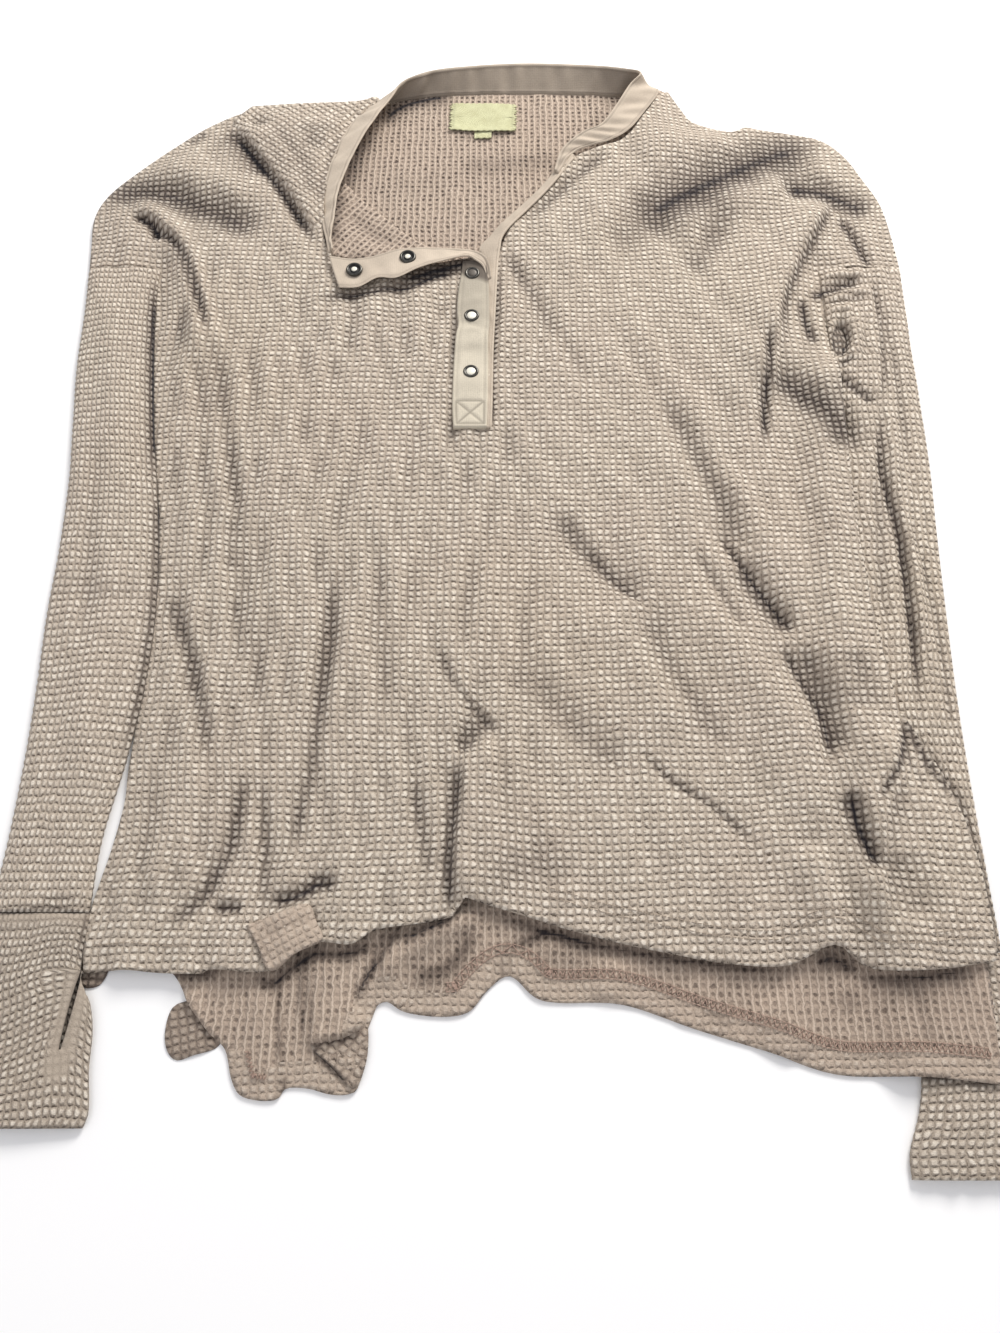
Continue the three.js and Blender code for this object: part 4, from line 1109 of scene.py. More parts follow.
def lapel_arrays(relief):
    """The left front turned out beside the neck, rolled down at its fold and at the neckband."""
    lapel_relief = Relief((-240, 570), (-90, 765))
    lapel_relief.folds(LAPEL_FOLDS)
    x, y = lapel_relief.x, lapel_relief.y
    from_fold, _, _ = nearest(curve(LAPEL_FOLD), x, y)
    from_band, _, _ = nearest(curve(FRONT_NECK_LEFT), x, y)
    rolled = 4.5 * np.exp(-from_fold / 3.0) + 2.2 * np.exp(-((from_band / 5) ** 2))
    base = relief.z(np.maximum(x, -330), y)
    lapel_relief.height = np.maximum(base + 1.2, 7.5 + lapel_relief.height) - rolled
    outline = np.vstack([curve(LAPEL[:4]), curve(LAPEL[3:10]), curve(LAPEL[10:])])
    sheet = Sheet(lapel_relief, ((-120, -120), (120, 120)), pivot=(-165, 660), turn=math.radians(-38))
    return sheet_arrays(sheet.cut(outline), edge=3.0)


def add_front(relief, knit, wrong, turned):
    outline = outline_of(
        LEFT_SHOULDER, LEFT_SIDE, FRONT_HEM_LEFT, FRONT_HEM_RIGHT, FRONT_SLIT, RIGHT_SIDE, RIGHT_SHOULDER,
        FRONT_NECK_RIGHT, FRONT_NECK_LEFT[:4], UNDER_LAPEL[::-1], LEFT_SHOULDER[2:3] * 2,
    )
    main = Sheet(relief, ((-335, -270), (325, 475)), sway=1.2).cut(outline)
    tab = patch(
        TAB,
        lambda x, y: relief.z(x, y) + 0.9 + 1.7 * smooth(2, 18, nearest(TAB_TOP, x, y)[0]),
        math.radians(29),
        folds=TAB_FOLDS,
    )
    inner_edge = curve(INNER_FACE[6:] + INNER_FACE[:1])
    inner = patch(
        INNER_FACE,
        lambda x, y: 4.2 + 3.2 * smooth(0, 40, nearest(inner_edge, x, y)[0]),
        math.radians(-34),
        folds=INNER_FOLDS,
        wrong_side=True,
    )
    parts = [sheet_arrays(main), lapel_arrays(relief), tab, inner]
    kinds = np.concatenate([np.full(len(part[1]), kind) for part, kind in zip(parts, (0, 0, 2, 1))])
    shares = (0, 0, TURNED_CALM, 0)
    calm = np.concatenate([np.full(len(part[0]), share) for part, share in zip(parts, shares)])
    front = make_object("front_cloth", join(*parts), [knit, wrong, turned], kinds, calm=calm)
    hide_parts("front")
    return front


def rippled(low, ripple, x, y):
    """A flat scrap's height, with ripples across it."""
    return low + ripple * np.sin(x / 3.5)


def add_back(relief, turned, wrong):
    outline = outline_of(
        LEFT_SHOULDER, LEFT_SIDE[:-1], BACK_HEM_LEFT, BACK_HEM_RIGHT, BACK_SLIT, RIGHT_SIDE[1:],
        RIGHT_SHOULDER, BACK_NECK,
    )
    main = sheet_arrays(Sheet(relief, ((-335, -330), (325, 475)), sway=1.0).cut(outline), wrong_side=True)
    centre = main[0][main[1]].mean(axis=1)
    far = [nearest(curve(hem), centre[:, 0], centre[:, 1])[0] for hem in (BACK_HEM_LEFT[5:], BACK_HEM_RIGHT)]
    turned_up = np.min(far, axis=0) < HEM_ALLOWANCE
    corners = []
    for outline, low, ripple, turn, dim, edge, folds in BACK_CORNERS:
        height = partial(rippled, low, ripple)
        corners.append(patch(outline, height, math.radians(turn), folds, dim=dim, edge=edge))
    parts = [main, *corners]
    kinds = np.concatenate([turned_up.astype(int), *[np.ones(len(part[1]), int) for part in corners]])
    arrays = join(*parts)
    calm = 0.7 * TURNED_CALM * (1 - smooth(80, 120, arrays[0][:, 1]))
    back = make_object("back_cloth", arrays, [wrong, turned], kinds, calm=calm)
    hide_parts("back")
    return back


# ---------------------------------------------------------------- sleeves and cuffs

# A tube's section: how high its low side lies, the share of its height at which its two layers meet, how
# square its sides are, and the least height of its upper layer.
TUBE_FLAT = 0.35
TUBE_MEET = 0.42
TUBE_SQUARE = 0.72
TUBE_LEAST = 2.2
# The lining: how far it lies inside the knit, from the line where the layers meet, and under the lowest
# point of the knit this many rows to either side.
LINING = 1.3
LINING_MEET = 0.2
LINING_UNDER = 0.6
LINING_REACH = 4
# How far the tubes' rows drift, and the shade of the lining.
TUBE_SHEAR = 1.6
LINING_SHADE = 0.75
# The least height of any point of a tube's outside.
FLOOR_GAP = 0.15
# The way round a tube's section, in widths of the tube.
AROUND_WIDTHS = 2.06
# The knit is pulled along the arms, so its cells are narrower and taller: width, height, lean of the
# rows, shade.
TUBE_CELLS = {
    "sleeve_left": (3.6, 5.1, 0.0, 0.0),
    "sleeve_right": (3.7, 5.5, 0.0, 0.0),
    "cuff_left": (3.7, 4.4, 0.42, 0.24),
    "cuff_right": (4.7, 4.4, 0.0, 0.16),
}


def tube_ring(relief, y, middle, half, high):
    """A fine section of a flattened tube: across, height, and which points lie on its upper layer."""
    angle = np.linspace(0, 2 * math.pi, 721)
    cos, sin = np.cos(angle), np.sin(angle)
    u = np.sign(cos) * np.abs(cos) ** TUBE_SQUARE
    x = middle + u * half
    upper = sin >= 0
    arch = np.maximum(0, 1 - np.abs(u) ** 2.6) ** 0.5
    fold = relief.z(x, np.full_like(x, y)) * (1 - np.abs(u) ** 5)
    plain = high * (TUBE_MEET + (1 - TUBE_MEET) * arch)
    z_top = plain + np.maximum(fold, TUBE_LEAST - plain)
    z_low = high * TUBE_MEET * (1 - np.maximum(0, 1 - np.abs(u) ** 8) ** 0.5) + TUBE_FLAT
    return x, np.where(upper, z_top, z_low), upper


def tube_lining(grid, normal, kept, meet):
    """A tube's inner wall at the kept rows, held off its outer wall and its other layer."""
    lowest = grid[..., 2].copy()
    for step in range(1, LINING_REACH + 1):
        lowest[step:] = np.minimum(lowest[step:], grid[:-step, :, 2])
        lowest[:-step] = np.minimum(lowest[:-step], grid[step:, :, 2])
    lining = (grid - normal * LINING)[kept]
    over = normal[kept][..., 2] > 0
    z = lining[..., 2]
    z = np.where(over, np.maximum(z, meet + LINING_MEET), np.minimum(z, meet - LINING_MEET))
    lining[..., 2] = np.where(over, np.minimum(z, lowest[kept] - LINING_UNDER), z)
    return lining


def tube_arrays(rows, relief, cell, slit=False):
    """A flattened tube of waffle knit with a wall of its own, open at both ends."""
    cell_wide, cell_tall, lean, dim = cell
    table = np.asarray(rows, float)
    top, bottom = table[0, 0], table[-1, 0]
    count = int(round((top - bottom) / (cell_tall / 2)))
    ys = np.linspace(top, bottom, count + 1)
    inner = smooth_column(rows, ys, 1)
    outer = smooth_column(rows, ys, 2)
    high = smooth_column(rows, ys, 3)
    around = 2 * int(round(np.abs(outer - inner).mean() * AROUND_WIDTHS / cell_wide))
    grid = np.zeros((len(ys), around, 3))
    depth = np.zeros((len(ys), around))
    for r, y in enumerate(ys):
        middle, half = (inner[r] + outer[r]) / 2, abs(outer[r] - inner[r]) / 2
        x, z, upper = tube_ring(relief, y, middle, half, high[r])
        length = run_length(np.stack([x, z], axis=1))
        wanted = np.linspace(0, length[-1], around + 1)[:-1]
        gx = np.interp(wanted, length, x)
        gz = np.interp(wanted, length, z)
        up = np.interp(wanted, length, upper.astype(float))
        swell = np.sin(math.pi * r / (len(ys) - 1))
        gy = y + TUBE_SHEAR * wave(gx * 1.5, np.full_like(gx, y), 3) * swell * up
        off = (gx - middle) / half
        gy += lean * off * half * (1 - np.abs(off) ** 3) * swell * up
        grid[r] = np.stack([gx, gy, gz], axis=1)
        depth[r] = np.maximum(relief.dark(gx, gy), dim) * up
    if slit:
        column, slit_rows = open_slit(grid, ys)
        edges = depth[slit_rows][:, [column, column + 1]]
        depth[slit_rows[:, None], [column, column + 1]] = np.maximum(edges, SLIT_SHADE)
    closed = np.concatenate([grid, grid[:, :1]], axis=1)
    normal = grid_normals(closed)[:, :-1]
    meet = high * TUBE_MEET
    centre = np.stack([(inner + outer) / 2, ys, meet], axis=1)[:, None, :]
    flip = ((grid - centre) * normal).sum(-1, keepdims=True) < 0
    normal = np.where(flip, -normal, normal)
    columns, lines = np.arange(around), np.arange(len(ys))
    calm = np.zeros(depth.shape)
    if slit:
        far = nearest(THUMB_LINE, grid[..., 0], grid[..., 1])[0]
        calm = np.exp(-((far / SLIT_CALM) ** 4)) * (grid[..., 2] > meet[:, None])
        calm = np.maximum(calm, SEAM_CALM * np.exp(-(((ys[:, None] - top) / SEAM_REACH) ** 2)))
    outside = grid + normal * (cell_relief(columns, lines, False) * (1 - calm))[..., None]
    outside[..., 2] = np.maximum(outside[..., 2], FLOOR_GAP)
    kept = np.unique(np.append(np.arange(0, len(ys), 1 if slit else 4), len(ys) - 1))[::-1]
    lining = tube_lining(grid, normal, kept, meet[kept][:, None])
    whole = np.concatenate([outside, lining])
    depth = np.concatenate([depth, np.full(lining.shape[:2], LINING_SHADE)])
    calm = np.concatenate([calm, np.zeros(lining.shape[:2])])
    faces = quad_grid(len(whole) + 1, around, round_across=True)[:, ::-1] % (len(whole) * around)
    if slit:
        faces = slit_faces(faces, around, len(ys), column, slit_rows)
    us = np.tile(columns / 2.0, (len(whole), 1))
    vs = np.tile(-np.concatenate([lines, kept])[:, None] / 2.0, (1, around))
    knit = np.dstack([us, vs]).reshape(-1, 2)
    return (whole.reshape(-1, 3), faces, knit, depth.reshape(-1)), calm.reshape(-1)


def smooth_column(rows, ys, column):
    """A column of a tube's table, smoothly between its rows."""
    fine = curve(np.asarray(rows, float), 12)[::-1]
    return np.interp(ys, fine[:, 0], fine[:, column])


# The thumbhole: a slit along one column of the cuff's upper layer, from low to high, this wide in the
# middle, its edges lifted a little.
THUMB = {"x": -242.0, "low": 2.0, "high": 49.0, "wide": 2.6, "lean": -0.13, "lift": 0.5}
# The columns to either hand that the slit pushes aside, and the height above which a cuff's layer is its
# upper one.
SLIT_PUSH = 6
CUFF_UPPER = 3.5
# How much painted shade the slit's edges get, how far round it the cells are calm, how calm they are by the
# cuff's seam, and how far from it.
SLIT_SHADE = 0.35
SLIT_CALM = 7.5
SEAM_CALM = 0.8
SEAM_REACH = 7
THUMB_LINE = [
    (THUMB["x"] + THUMB["lean"] * (THUMB["high"] - THUMB["low"]) / 2, THUMB["low"]),
    (THUMB["x"] - THUMB["lean"] * (THUMB["high"] - THUMB["low"]) / 2, THUMB["high"]),
]


def open_slit(grid, ys):
    """Spreads one column of the upper layer and says which cells lie between."""
    middle = int(np.argmin(np.abs(ys - (THUMB["low"] + THUMB["high"]) / 2)))
    upper = grid[middle, :, 2] > CUFF_UPPER
    column = int(np.argmin(np.where(upper, np.abs(grid[middle, :, 0] - THUMB["x"]), 1e9)))
    share = (ys - THUMB["low"]) / (THUMB["high"] - THUMB["low"])
    rows = np.where((share >= 0) & (share <= 1))[0]
    for r in rows:
        at = THUMB["x"] + THUMB["lean"] * (THUMB["low"] + THUMB["high"] - 2 * ys[r]) / 2
        half = THUMB["wide"] / 2 * math.sin(math.pi * share[r]) ** 0.5 + 0.1
        shift = at - (grid[r, column, 0] + grid[r, column + 1, 0]) / 2
        for k in range(1 - SLIT_PUSH, SLIT_PUSH + 1):
            grid[r, column + k, 0] += shift * (1 - abs(k - 0.5) / (SLIT_PUSH + 1))
        side = 1 if grid[r, column + 1, 0] > grid[r, column, 0] else -1
        grid[r, column : column + 2, 0] = at - side * half, at + side * half
        grid[r, column : column + 2, 2] += THUMB["lift"]
    return column, rows


def slit_faces(faces, around, count, column, rows):
    """Takes the slit's cells out of both walls and joins the walls round it."""
    lines = [*rows[:-1], *(2 * count - 2 - rows[:-1])]
    gone = {r * around + column for r in lines}
    left_out = np.array([min(face) in gone and column == min(face) % around for face in faces])
    outer = rows * around + column
    inner = (2 * count - 1 - rows) * around + column
    walls = [np.stack([outer[:-1], outer[1:], inner[1:], inner[:-1]], axis=1)]
    walls.append(np.stack([outer[1:], outer[:-1], inner[:-1], inner[1:]], axis=1) + 1)
    for end in (0, -1):
        walls.append([[outer[end], outer[end] + 1, inner[end] + 1, inner[end]]])
    return np.vstack([faces[~left_out], *walls])


def add_sleeves(knit):
    relief = Relief((-330, -70), (330, 600))
    relief.folds(SLEEVE_FOLDS)
    right_arm = smooth(150, 200, relief.x)
    relief.ripples(31, 0.55 * right_arm, 11, 160)
    relief.ripples(37, 0.5 * (1 - right_arm), 40, 60)
    relief.hollows(4, 0.35)
    relief.pit(*UNDERARM_HOLE)
    made = {}
    tables = {
        "sleeve_left": LEFT_TUBE,
        "sleeve_right": RIGHT_TUBE,
        "cuff_left": LEFT_CUFF,
        "cuff_right": RIGHT_CUFF,
    }
    for node, rows in tables.items():
        arrays, calm = tube_arrays(rows, relief, TUBE_CELLS[node], slit=node == "cuff_left")
        made[node] = make_object(node + "_cloth", arrays, [knit], closed=True, calm=calm)
        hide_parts(node)
    return made


# ---------------------------------------------------------------- neckband and placket

# Strips, row by row: the sewn edge's point, the free edge's point, shade.
NECKBAND = [
    (-131.6, 579.2, 12, -128, 581, 15, 0.1), (-134.6, 594, 10, -130.5, 597, 12, 0.1),
    (-138.8, 612, 9, -129, 614, 13, 0.05), (-140.9, 637, 8.4, -127, 640, 15, 0),
    (-137.8, 668, 8.4, -120, 668, 16, 0), (-130, 702, 7.6, -110, 697, 17, 0),
    (-118.4, 730, 6, -99, 720, 18, 0), (-104, 749, 3.6, -88, 741, 18, 0.1),
    (-90, 752.4, 1.6, -80, 757, 18, 0.45), (-60, 758.8, 0.6, -58, 772, 15, 0.5),
    (-25, 761.2, 0.4, -24, 780, 13, 0.45), (20, 761.8, 0.4, 20, 783, 13, 0.38),
    (70, 761, 0.6, 70, 780, 14, 0.35), (106, 758.9, 1.4, 100, 772, 18, 0.5),
    (128, 765.4, 3.4, 116, 762, 22, 0.3), (133, 759, 6, 106, 750, 19, 0),
    (120.2, 735.6, 7.6, 94, 729, 17, 0), (105.6, 713.4, 8.8, 82, 712, 15, 0),
    (89, 700.4, 9.4, 66, 704, 14, 0), (60.4, 687.4, 9.4, 50, 689, 11, 0.1),
    (46.5, 664, 9.8, 43, 666.5, 10.2, 0.1),
]
FLAP = [
    (-131, 577, 12, -121, 545, 13, 0), (-112, 574, 12, -106, 545, 14, 0),
    (-95, 577, 12, -92, 553, 15, 0.12), (-80, 583, 12, -78, 552, 16, 0),
    (-61, 585, 12, -61, 561, 17, 0), (-42, 584, 12, -42, 568, 17, 0), (-25, 582, 13, -26, 573, 16, 0),
    (-13, 577, 13, -17, 569.5, 14, 0.1), (-8, 569, 12, -12.5, 565, 12.5, 0.15),
    (-6.2, 557, 9.5, -9.2, 555.5, 10, 0.2),
]
# The placket's lower strip: y, left edge, right edge. Its own cloth runs from 0 to WIDE across.
PLACKET_EDGES = [
    (421, -33, -8.8), (442, -34.2, -8.6), (473, -33.8, -8.4), (500, -32.6, -8.6), (511, -31.0, -8.0),
    (524, -32.2, -7.8), (545, -31.4, -8.2), (560, -29.5, -9.2), (572, -28.5, -10),
]
PLACKET_WIDE = 25.0
PLACKET_PITCH = 0.9
PLACKET_THICK = 2.2
PLACKET_LOW, PLACKET_HIGH = PLACKET_EDGES[0][0], PLACKET_EDGES[-1][0]
# Its creases: y at the left edge, rise, climb to the right edge, spread, shade.
PLACKET_CREASES = [
    (530, 0.8, 8, 4.0, 0.0), (514, -1.0, -7, 3.0, 0.24), (504, 0.7, 6, 3.5, 0.0),
    (487, -0.7, 3, 4.5, 0.12), (462, 0.5, -4, 6.0, 0.0),
]
# The plain edge from the neckband down the open neck and beside the placket: right edge, left edge, drop
# to the left.
FACING = [
    (-7.4, 420.5, -9.6, 420.5, 0.1), (-6.8, 446, -9.4, 446, 0.1), (-6.2, 490, -9.2, 490, 0.1),
    (-4.8, 527, -9, 527, 0.3), (-3.6, 556, -12.5, 558, 0.8), (-2.6, 576, -14, 578, 1.8),
    (-1.2, 588, -15.5, 590, 2.4), (0.5, 598, -7, 602, 2.4), (7, 609, 1, 613, 2.2),
    (22, 629, 17, 633, 2.2), (40, 653, 35, 656, 2.2), (60, 684, 54, 687, 2.0),
]
DOUBLED = 1.8


def ribbon_arrays(rows, across=18, pitch=1.5, thickness=DOUBLED, bow=0.0, seed=1, wrinkle=0.35, seams=()):
    """A doubled strip between two edges: two faces with rounded edges all round, and soft wrinkles."""
    fine = curve(rows, 24)
    middle = (fine[:, 0:3] + fine[:, 3:6]) / 2
    length = run_length(middle)
    wanted = np.linspace(0, length[-1], int(length[-1] / pitch) + 1)
    fine = np.stack([np.interp(wanted, length, fine[:, k]) for k in range(7)], axis=1)
    share = np.linspace(0, 1, across + 1)[None, :, None]
    face = fine[:, None, 0:3] * (1 - share) + fine[:, None, 3:6] * share
    normal = grid_normals(face)
    wide = np.linalg.norm(fine[:, 3:6] - fine[:, 0:3], axis=1)
    s = share[..., 0]
    rng = np.random.default_rng(seed)
    along = wanted[:, None]
    form = np.zeros(face.shape[:2])
    for _ in range(7):
        wave_length, slant, phase = rng.uniform(11, 34), rng.uniform(-14, 14), rng.uniform(0, 6.3)
        swing = np.sin(2 * math.pi * (along + slant * s) / wave_length + phase)
        form += swing * np.sin(math.pi * s) ** 0.7
    form = wrinkle * form / 2.2 + bow * np.sin(math.pi * s)
    groove = np.zeros(form.shape)
    for inset in seams:
        groove = np.maximum(groove, np.exp(-(((np.minimum(s, 1 - s) * wide[:, None] - inset) / 0.7) ** 2)))
    form -= 0.4 * groove
    half = thickness / 2
    past = np.clip(np.abs(s - 0.5) * wide[:, None] - (wide[:, None] / 2 - half), 0, half)
    edge = np.sqrt(np.clip(1 - past**2 / half**2, 0, 1))
    base = face + normal * form[..., None]
    upper = base + normal * (half * (edge - 1))[..., None]
    lower = base - normal * (half * (edge + 1))[..., None]
    shape = face.shape[:2]
    count = shape[0] * shape[1]
    vertices = np.vstack([upper.reshape(-1, 3), lower.reshape(-1, 3)])
    top = quad_grid(*shape)
    number = np.arange(count).reshape(shape)
    rims = []
    for line in (number[:, 0], number[::-1, -1], number[0, ::-1], number[-1, :]):
        rims.append(np.stack([line[:-1], line[1:], line[1:] + count, line[:-1] + count], axis=1))
    faces = np.vstack([top, top[:, ::-1] + count, *rims])
    us = s * wide[:, None] / JERSEY_RIB
    vs = np.repeat(along / JERSEY_STITCH, shape[1], axis=1)
    knit = np.vstack([np.dstack([us, vs]).reshape(-1, 2)] * 2)
    # Painted shade from the rows' shade column, less towards the free edge, where it stands in for the light
    # on its rim, and more in the seams' grooves.
    depth = fine[:, 6:7] * (1 - 0.7 * smooth(0.86, 0.97, s))
    depth = (1 - (1 - depth) * (1 - 0.3 * groove)).reshape(-1)
    return vertices, faces, knit, np.concatenate([depth, depth])


def square_to(ahead):
    """The level direction and the upward one that are square to each direction."""
    ahead = ahead / np.linalg.norm(ahead, axis=-1, keepdims=True)
    side = np.cross(ahead, [0, 0, 1.0])
    side /= np.linalg.norm(side, axis=-1, keepdims=True)
    return side, np.cross(side, ahead)


def roll_arrays(points, radius, sides=8):
    """A rolled edge: a thin round tube along a run of points, closed at both ends."""
    fine = curve(points, 10)
    side, over = square_to(np.gradient(fine, axis=0))
    angle = np.linspace(0, 2 * math.pi, sides, endpoint=False)[None, :, None]
    size = np.full(len(fine), radius)
    size[[0, -1]] = 0.02
    turned = np.cos(angle) * side[:, None] + np.sin(angle) * over[:, None]
    ring = fine[:, None] + size[:, None, None] * turned
    along = np.arange(len(fine))[:, None] * np.ones(sides)
    knit = np.dstack([np.zeros_like(along) + 0.3, along * 0.6]).reshape(-1, 2)
    return ring.reshape(-1, 3), quad_grid(len(fine), sides, round_across=True), knit, np.zeros(len(knit))


def facing_arrays(relief):
    """The plain facing and, along its right edge, a rolled one."""
    rows = []
    for right, right_y, left, left_y, drop in FACING:
        z = float(relief.z(np.array([right]), np.array([right_y]))[0]) + 1.0
        # The whole facing carries a light painted shade of 0.12.
        rows.append((right, right_y, z, left, left_y, z - drop, 0.12))
    roll = [(row[0] + 0.6, row[1], row[2] + 0.2) for row in rows]
    return join(ribbon_arrays(rows, across=8, thickness=1.2, seed=12, wrinkle=0.2), roll_arrays(roll, 1.0))


def placket_arrays(relief):
    """The lower strip: level across, creased, with its stitched box, rows of stitches and folded edges."""
    share = np.linspace(0, 1, int(PLACKET_WIDE / PLACKET_PITCH) + 1)
    line = np.linspace(PLACKET_LOW, PLACKET_HIGH, int((PLACKET_HIGH - PLACKET_LOW) / PLACKET_PITCH) + 1)
    left, right = smooth_column(PLACKET_EDGES[::-1], line, 1), smooth_column(PLACKET_EDGES[::-1], line, 2)
    x = left[:, None] + (right - left)[:, None] * share
    y = np.repeat(line[:, None], len(share), axis=1)
    a = share[None, :] * PLACKET_WIDE + 0 * y
    under = relief.z(x, y).max(axis=1, keepdims=True)
    dents, stitched = stitch_marks(a, y)
    z = smeared(np.repeat(under, 3, axis=1), 9, 0)[:, :1] + PLACKET_THICK + dents
    shade = stitched
    for at, rise, climb, spread, dark in PLACKET_CREASES:
        form = np.exp(-(((y - at - climb * share) / spread) ** 2))
        form = form * (0.35 + 0.65 * np.sin(math.pi * share) ** 2)
        z = z + rise * form
        shade = np.maximum(shade, dark * form)
    side = np.minimum(np.minimum(a, PLACKET_WIDE - a), y - PLACKET_LOW)
    z = z + 0.5 * np.exp(-(((side - 1.0) / 0.7) ** 2)) - 1.5 * np.exp(-((side / 0.7) ** 1.5))
    # The neck's shade on the strip's upper half, and the open strip's shadow across its top.
    shade = np.maximum(shade, 0.32 * smooth(496, 526, y))
    shade = np.maximum(shade, 0.85 * smooth(553, 563, y + 0.3 * a))
    knit = np.dstack([a / JERSEY_RIB, y / JERSEY_STITCH])
    body = (np.dstack([x, y, z]).reshape(-1, 3), quad_grid(*x.shape), knit.reshape(-1, 2), shade.reshape(-1))
    return with_edge(*body, PLACKET_THICK)


BOX = {"low": 424.0, "high": 444.0, "inset": 2.6}


def box_lines():
    """The stitched box and cross at the strip's foot, and the rows down its long edges, with their shade."""
    left, right = BOX["inset"], PLACKET_WIDE - BOX["inset"]
    low, high = BOX["low"], BOX["high"]
    corners = [(left, low), (right, low), (right, high), (left, high)]
    pairs = [(0, 1), (1, 2), (2, 3), (3, 0), (0, 2), (3, 1)]
    box = [([corners[i], corners[j]], 0.5) for i, j in pairs]
    return box + [([(x, high), (x, PLACKET_HIGH)], 0.18) for x in (left, right)]


def stitch_marks(x, y):
    """How far the stitches draw the strip down, and the painted shade along them."""
    dents, shades = np.zeros(x.shape), np.zeros(x.shape)
    for line, shade in box_lines():
        far = nearest(line, x, y)[0]
        dents = np.minimum(dents, -0.7 * np.exp(-((far / 1.3) ** 2)))
        shades = np.maximum(shades, shade * np.exp(-((far / 0.8) ** 2)))
    return dents, shades


def add_neck(relief, plain, pale):
    strip = ribbon_arrays(NECKBAND, across=30, seed=3, wrinkle=0.7, seams=(2.4,))
    band = make_object("neckband_cloth", join(strip, facing_arrays(relief)), [plain])
    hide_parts("neckband")
    strip = ribbon_arrays(FLAP, across=30, seed=8, bow=-0.8, wrinkle=0.5, seams=(2.0,))
    flap = make_object("placket_flap_cloth", strip, [plain])
    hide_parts("placket_flap")
    under = make_object("placket_under_cloth", placket_arrays(relief), [pale])
    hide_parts("placket_under")
    return band, flap, under


# ---------------------------------------------------------------- label

LABEL = {"x": -14.0, "y": 733.0, "wide": 53.0, "tall": 32.0, "turn": -0.03}
LABEL_TAB = {"at": (-14.0, 714.5), "size": (14.0, 10.0)}
LABEL_EDGE = 0.8
# Points per millimetre.
LABEL_DENSE = 1.7


def label_arrays(relief, middle, size, ragged, lift):
    """A small woven rectangle on the cloth, its ends fraying by so much."""
    wide, tall = size
    a, b = np.meshgrid(*[np.linspace(-side / 2, side / 2, int(side * LABEL_DENSE)) for side in size])
    fray = 0.8 * np.sin(b * 2.3) + 0.6 * np.sin(b * 4.1 + 1) + 0.5 * np.sin(b * 0.9)
    a = a + ragged * fray * smooth(wide / 2 - 4, wide / 2, np.abs(a))
    wave_b = 0.35 * np.sin(a * 1.3) * smooth(tall / 2 - 3, tall / 2, np.abs(b))
    b = b + wave_b - ragged * 0.6 * (a / wide * 2) ** 2 * np.sign(b)
    c, s = math.cos(LABEL["turn"]), math.sin(LABEL["turn"])
    x = middle[0] + a * c - b * s
    y = middle[1] + a * s + b * c
    z = relief.z(x, y) + lift + 0.5 * np.sin(a / 9) * np.cos(b / 13)
    z = z + 0.8 * np.exp(-(((b + tall / 2) / 5) ** 2))
    stitched = np.exp(-(((np.abs(a) - wide / 2 + 2.2) / 0.8) ** 2)) * (0.5 + 0.5 * np.sin(b * 2.8))
    z = z - 0.35 * stitched
    points = np.dstack([x, y, z]).reshape(-1, 3)
    # The sunken stitches at both ends carry painted shade.
    body = (points, quad_grid(*x.shape), np.dstack([a, b]).reshape(-1, 2), 0.35 * stitched.reshape(-1))
    return with_edge(*body, LABEL_EDGE)


def add_label(relief):
    whole = label_arrays(relief, (LABEL["x"], LABEL["y"]), (LABEL["wide"], LABEL["tall"]), 1.5, 1.6)
    tab = label_arrays(relief, LABEL_TAB["at"], LABEL_TAB["size"], 0.0, 0.9)
    n = Nodes("label")
    place = n.knit_map()
    weave = n.add("ShaderNodeTexWave", wave_type="BANDS", bands_direction="DIAGONAL")
    n.link(place, weave.inputs["Vector"])
    weave.inputs["Scale"].default_value = 3.2
    cloud = n.noise(place, 0.12, 3.0)
    colour = n.mix(n.ramp(cloud, 0.35, 0.7), CLOTH["label"], CLOTH["label_worn"])
    colour = n.mix(n.times(weave.outputs["Fac"], 0.12), colour, CLOTH["label_weft"])
    n.link(shaded(n, colour), n.shader.inputs["Base Color"])
    n.shader.inputs["Roughness"].default_value = 0.7
    n.bump(weave.outputs["Fac"], 0.0002, 0.5)
    label = make_object("neck_label_cloth", join(whole, tab), [n.material])
    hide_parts("neck_label")
    return label


# ---------------------------------------------------------------- stitches

# Bare cloth at each end of a row of stitches.
END_GAP = 4
ZIGZAG_PITCH = 3.0


def threads(name, runs, colour, radius):
    """Short raised stitches along runs of points: each run is (points, stitch length, gap)."""
    sides = 5
    angle = np.linspace(0, 2 * math.pi, sides, endpoint=False)
    vertices, faces = [], []
    start = 0
    for points, long, gap in runs:
        points = np.asarray(points, float)
        length = run_length(points)
        for s in np.arange(0, length[-1] - long, long + gap):
            stops = s + long * np.array([0, 0.25, 0.75, 1.0])
            line = np.stack([np.interp(stops, length, points[:, k]) for k in range(3)], axis=1)
            line[:, 2] += [-0.15, 0.25, 0.25, -0.15]
            side, over = square_to(line[-1] - line[0])
            ring = radius * (np.cos(angle)[:, None] * side + np.sin(angle)[:, None] * over)
            vertices.append((line[:, None, :] + ring[None]).reshape(-1, 3))
            faces.append(quad_grid(len(line), sides, round_across=True) + start)
            start += len(line) * sides
    vertices, faces = np.vstack(vertices), np.vstack(faces)
    material = plain_material(name + "_thread", colour, 0.8, grain=0.25)
    arrays = (vertices, faces, vertices[:, :2].copy(), np.zeros(len(vertices)))
    return make_object(name, arrays, [material])


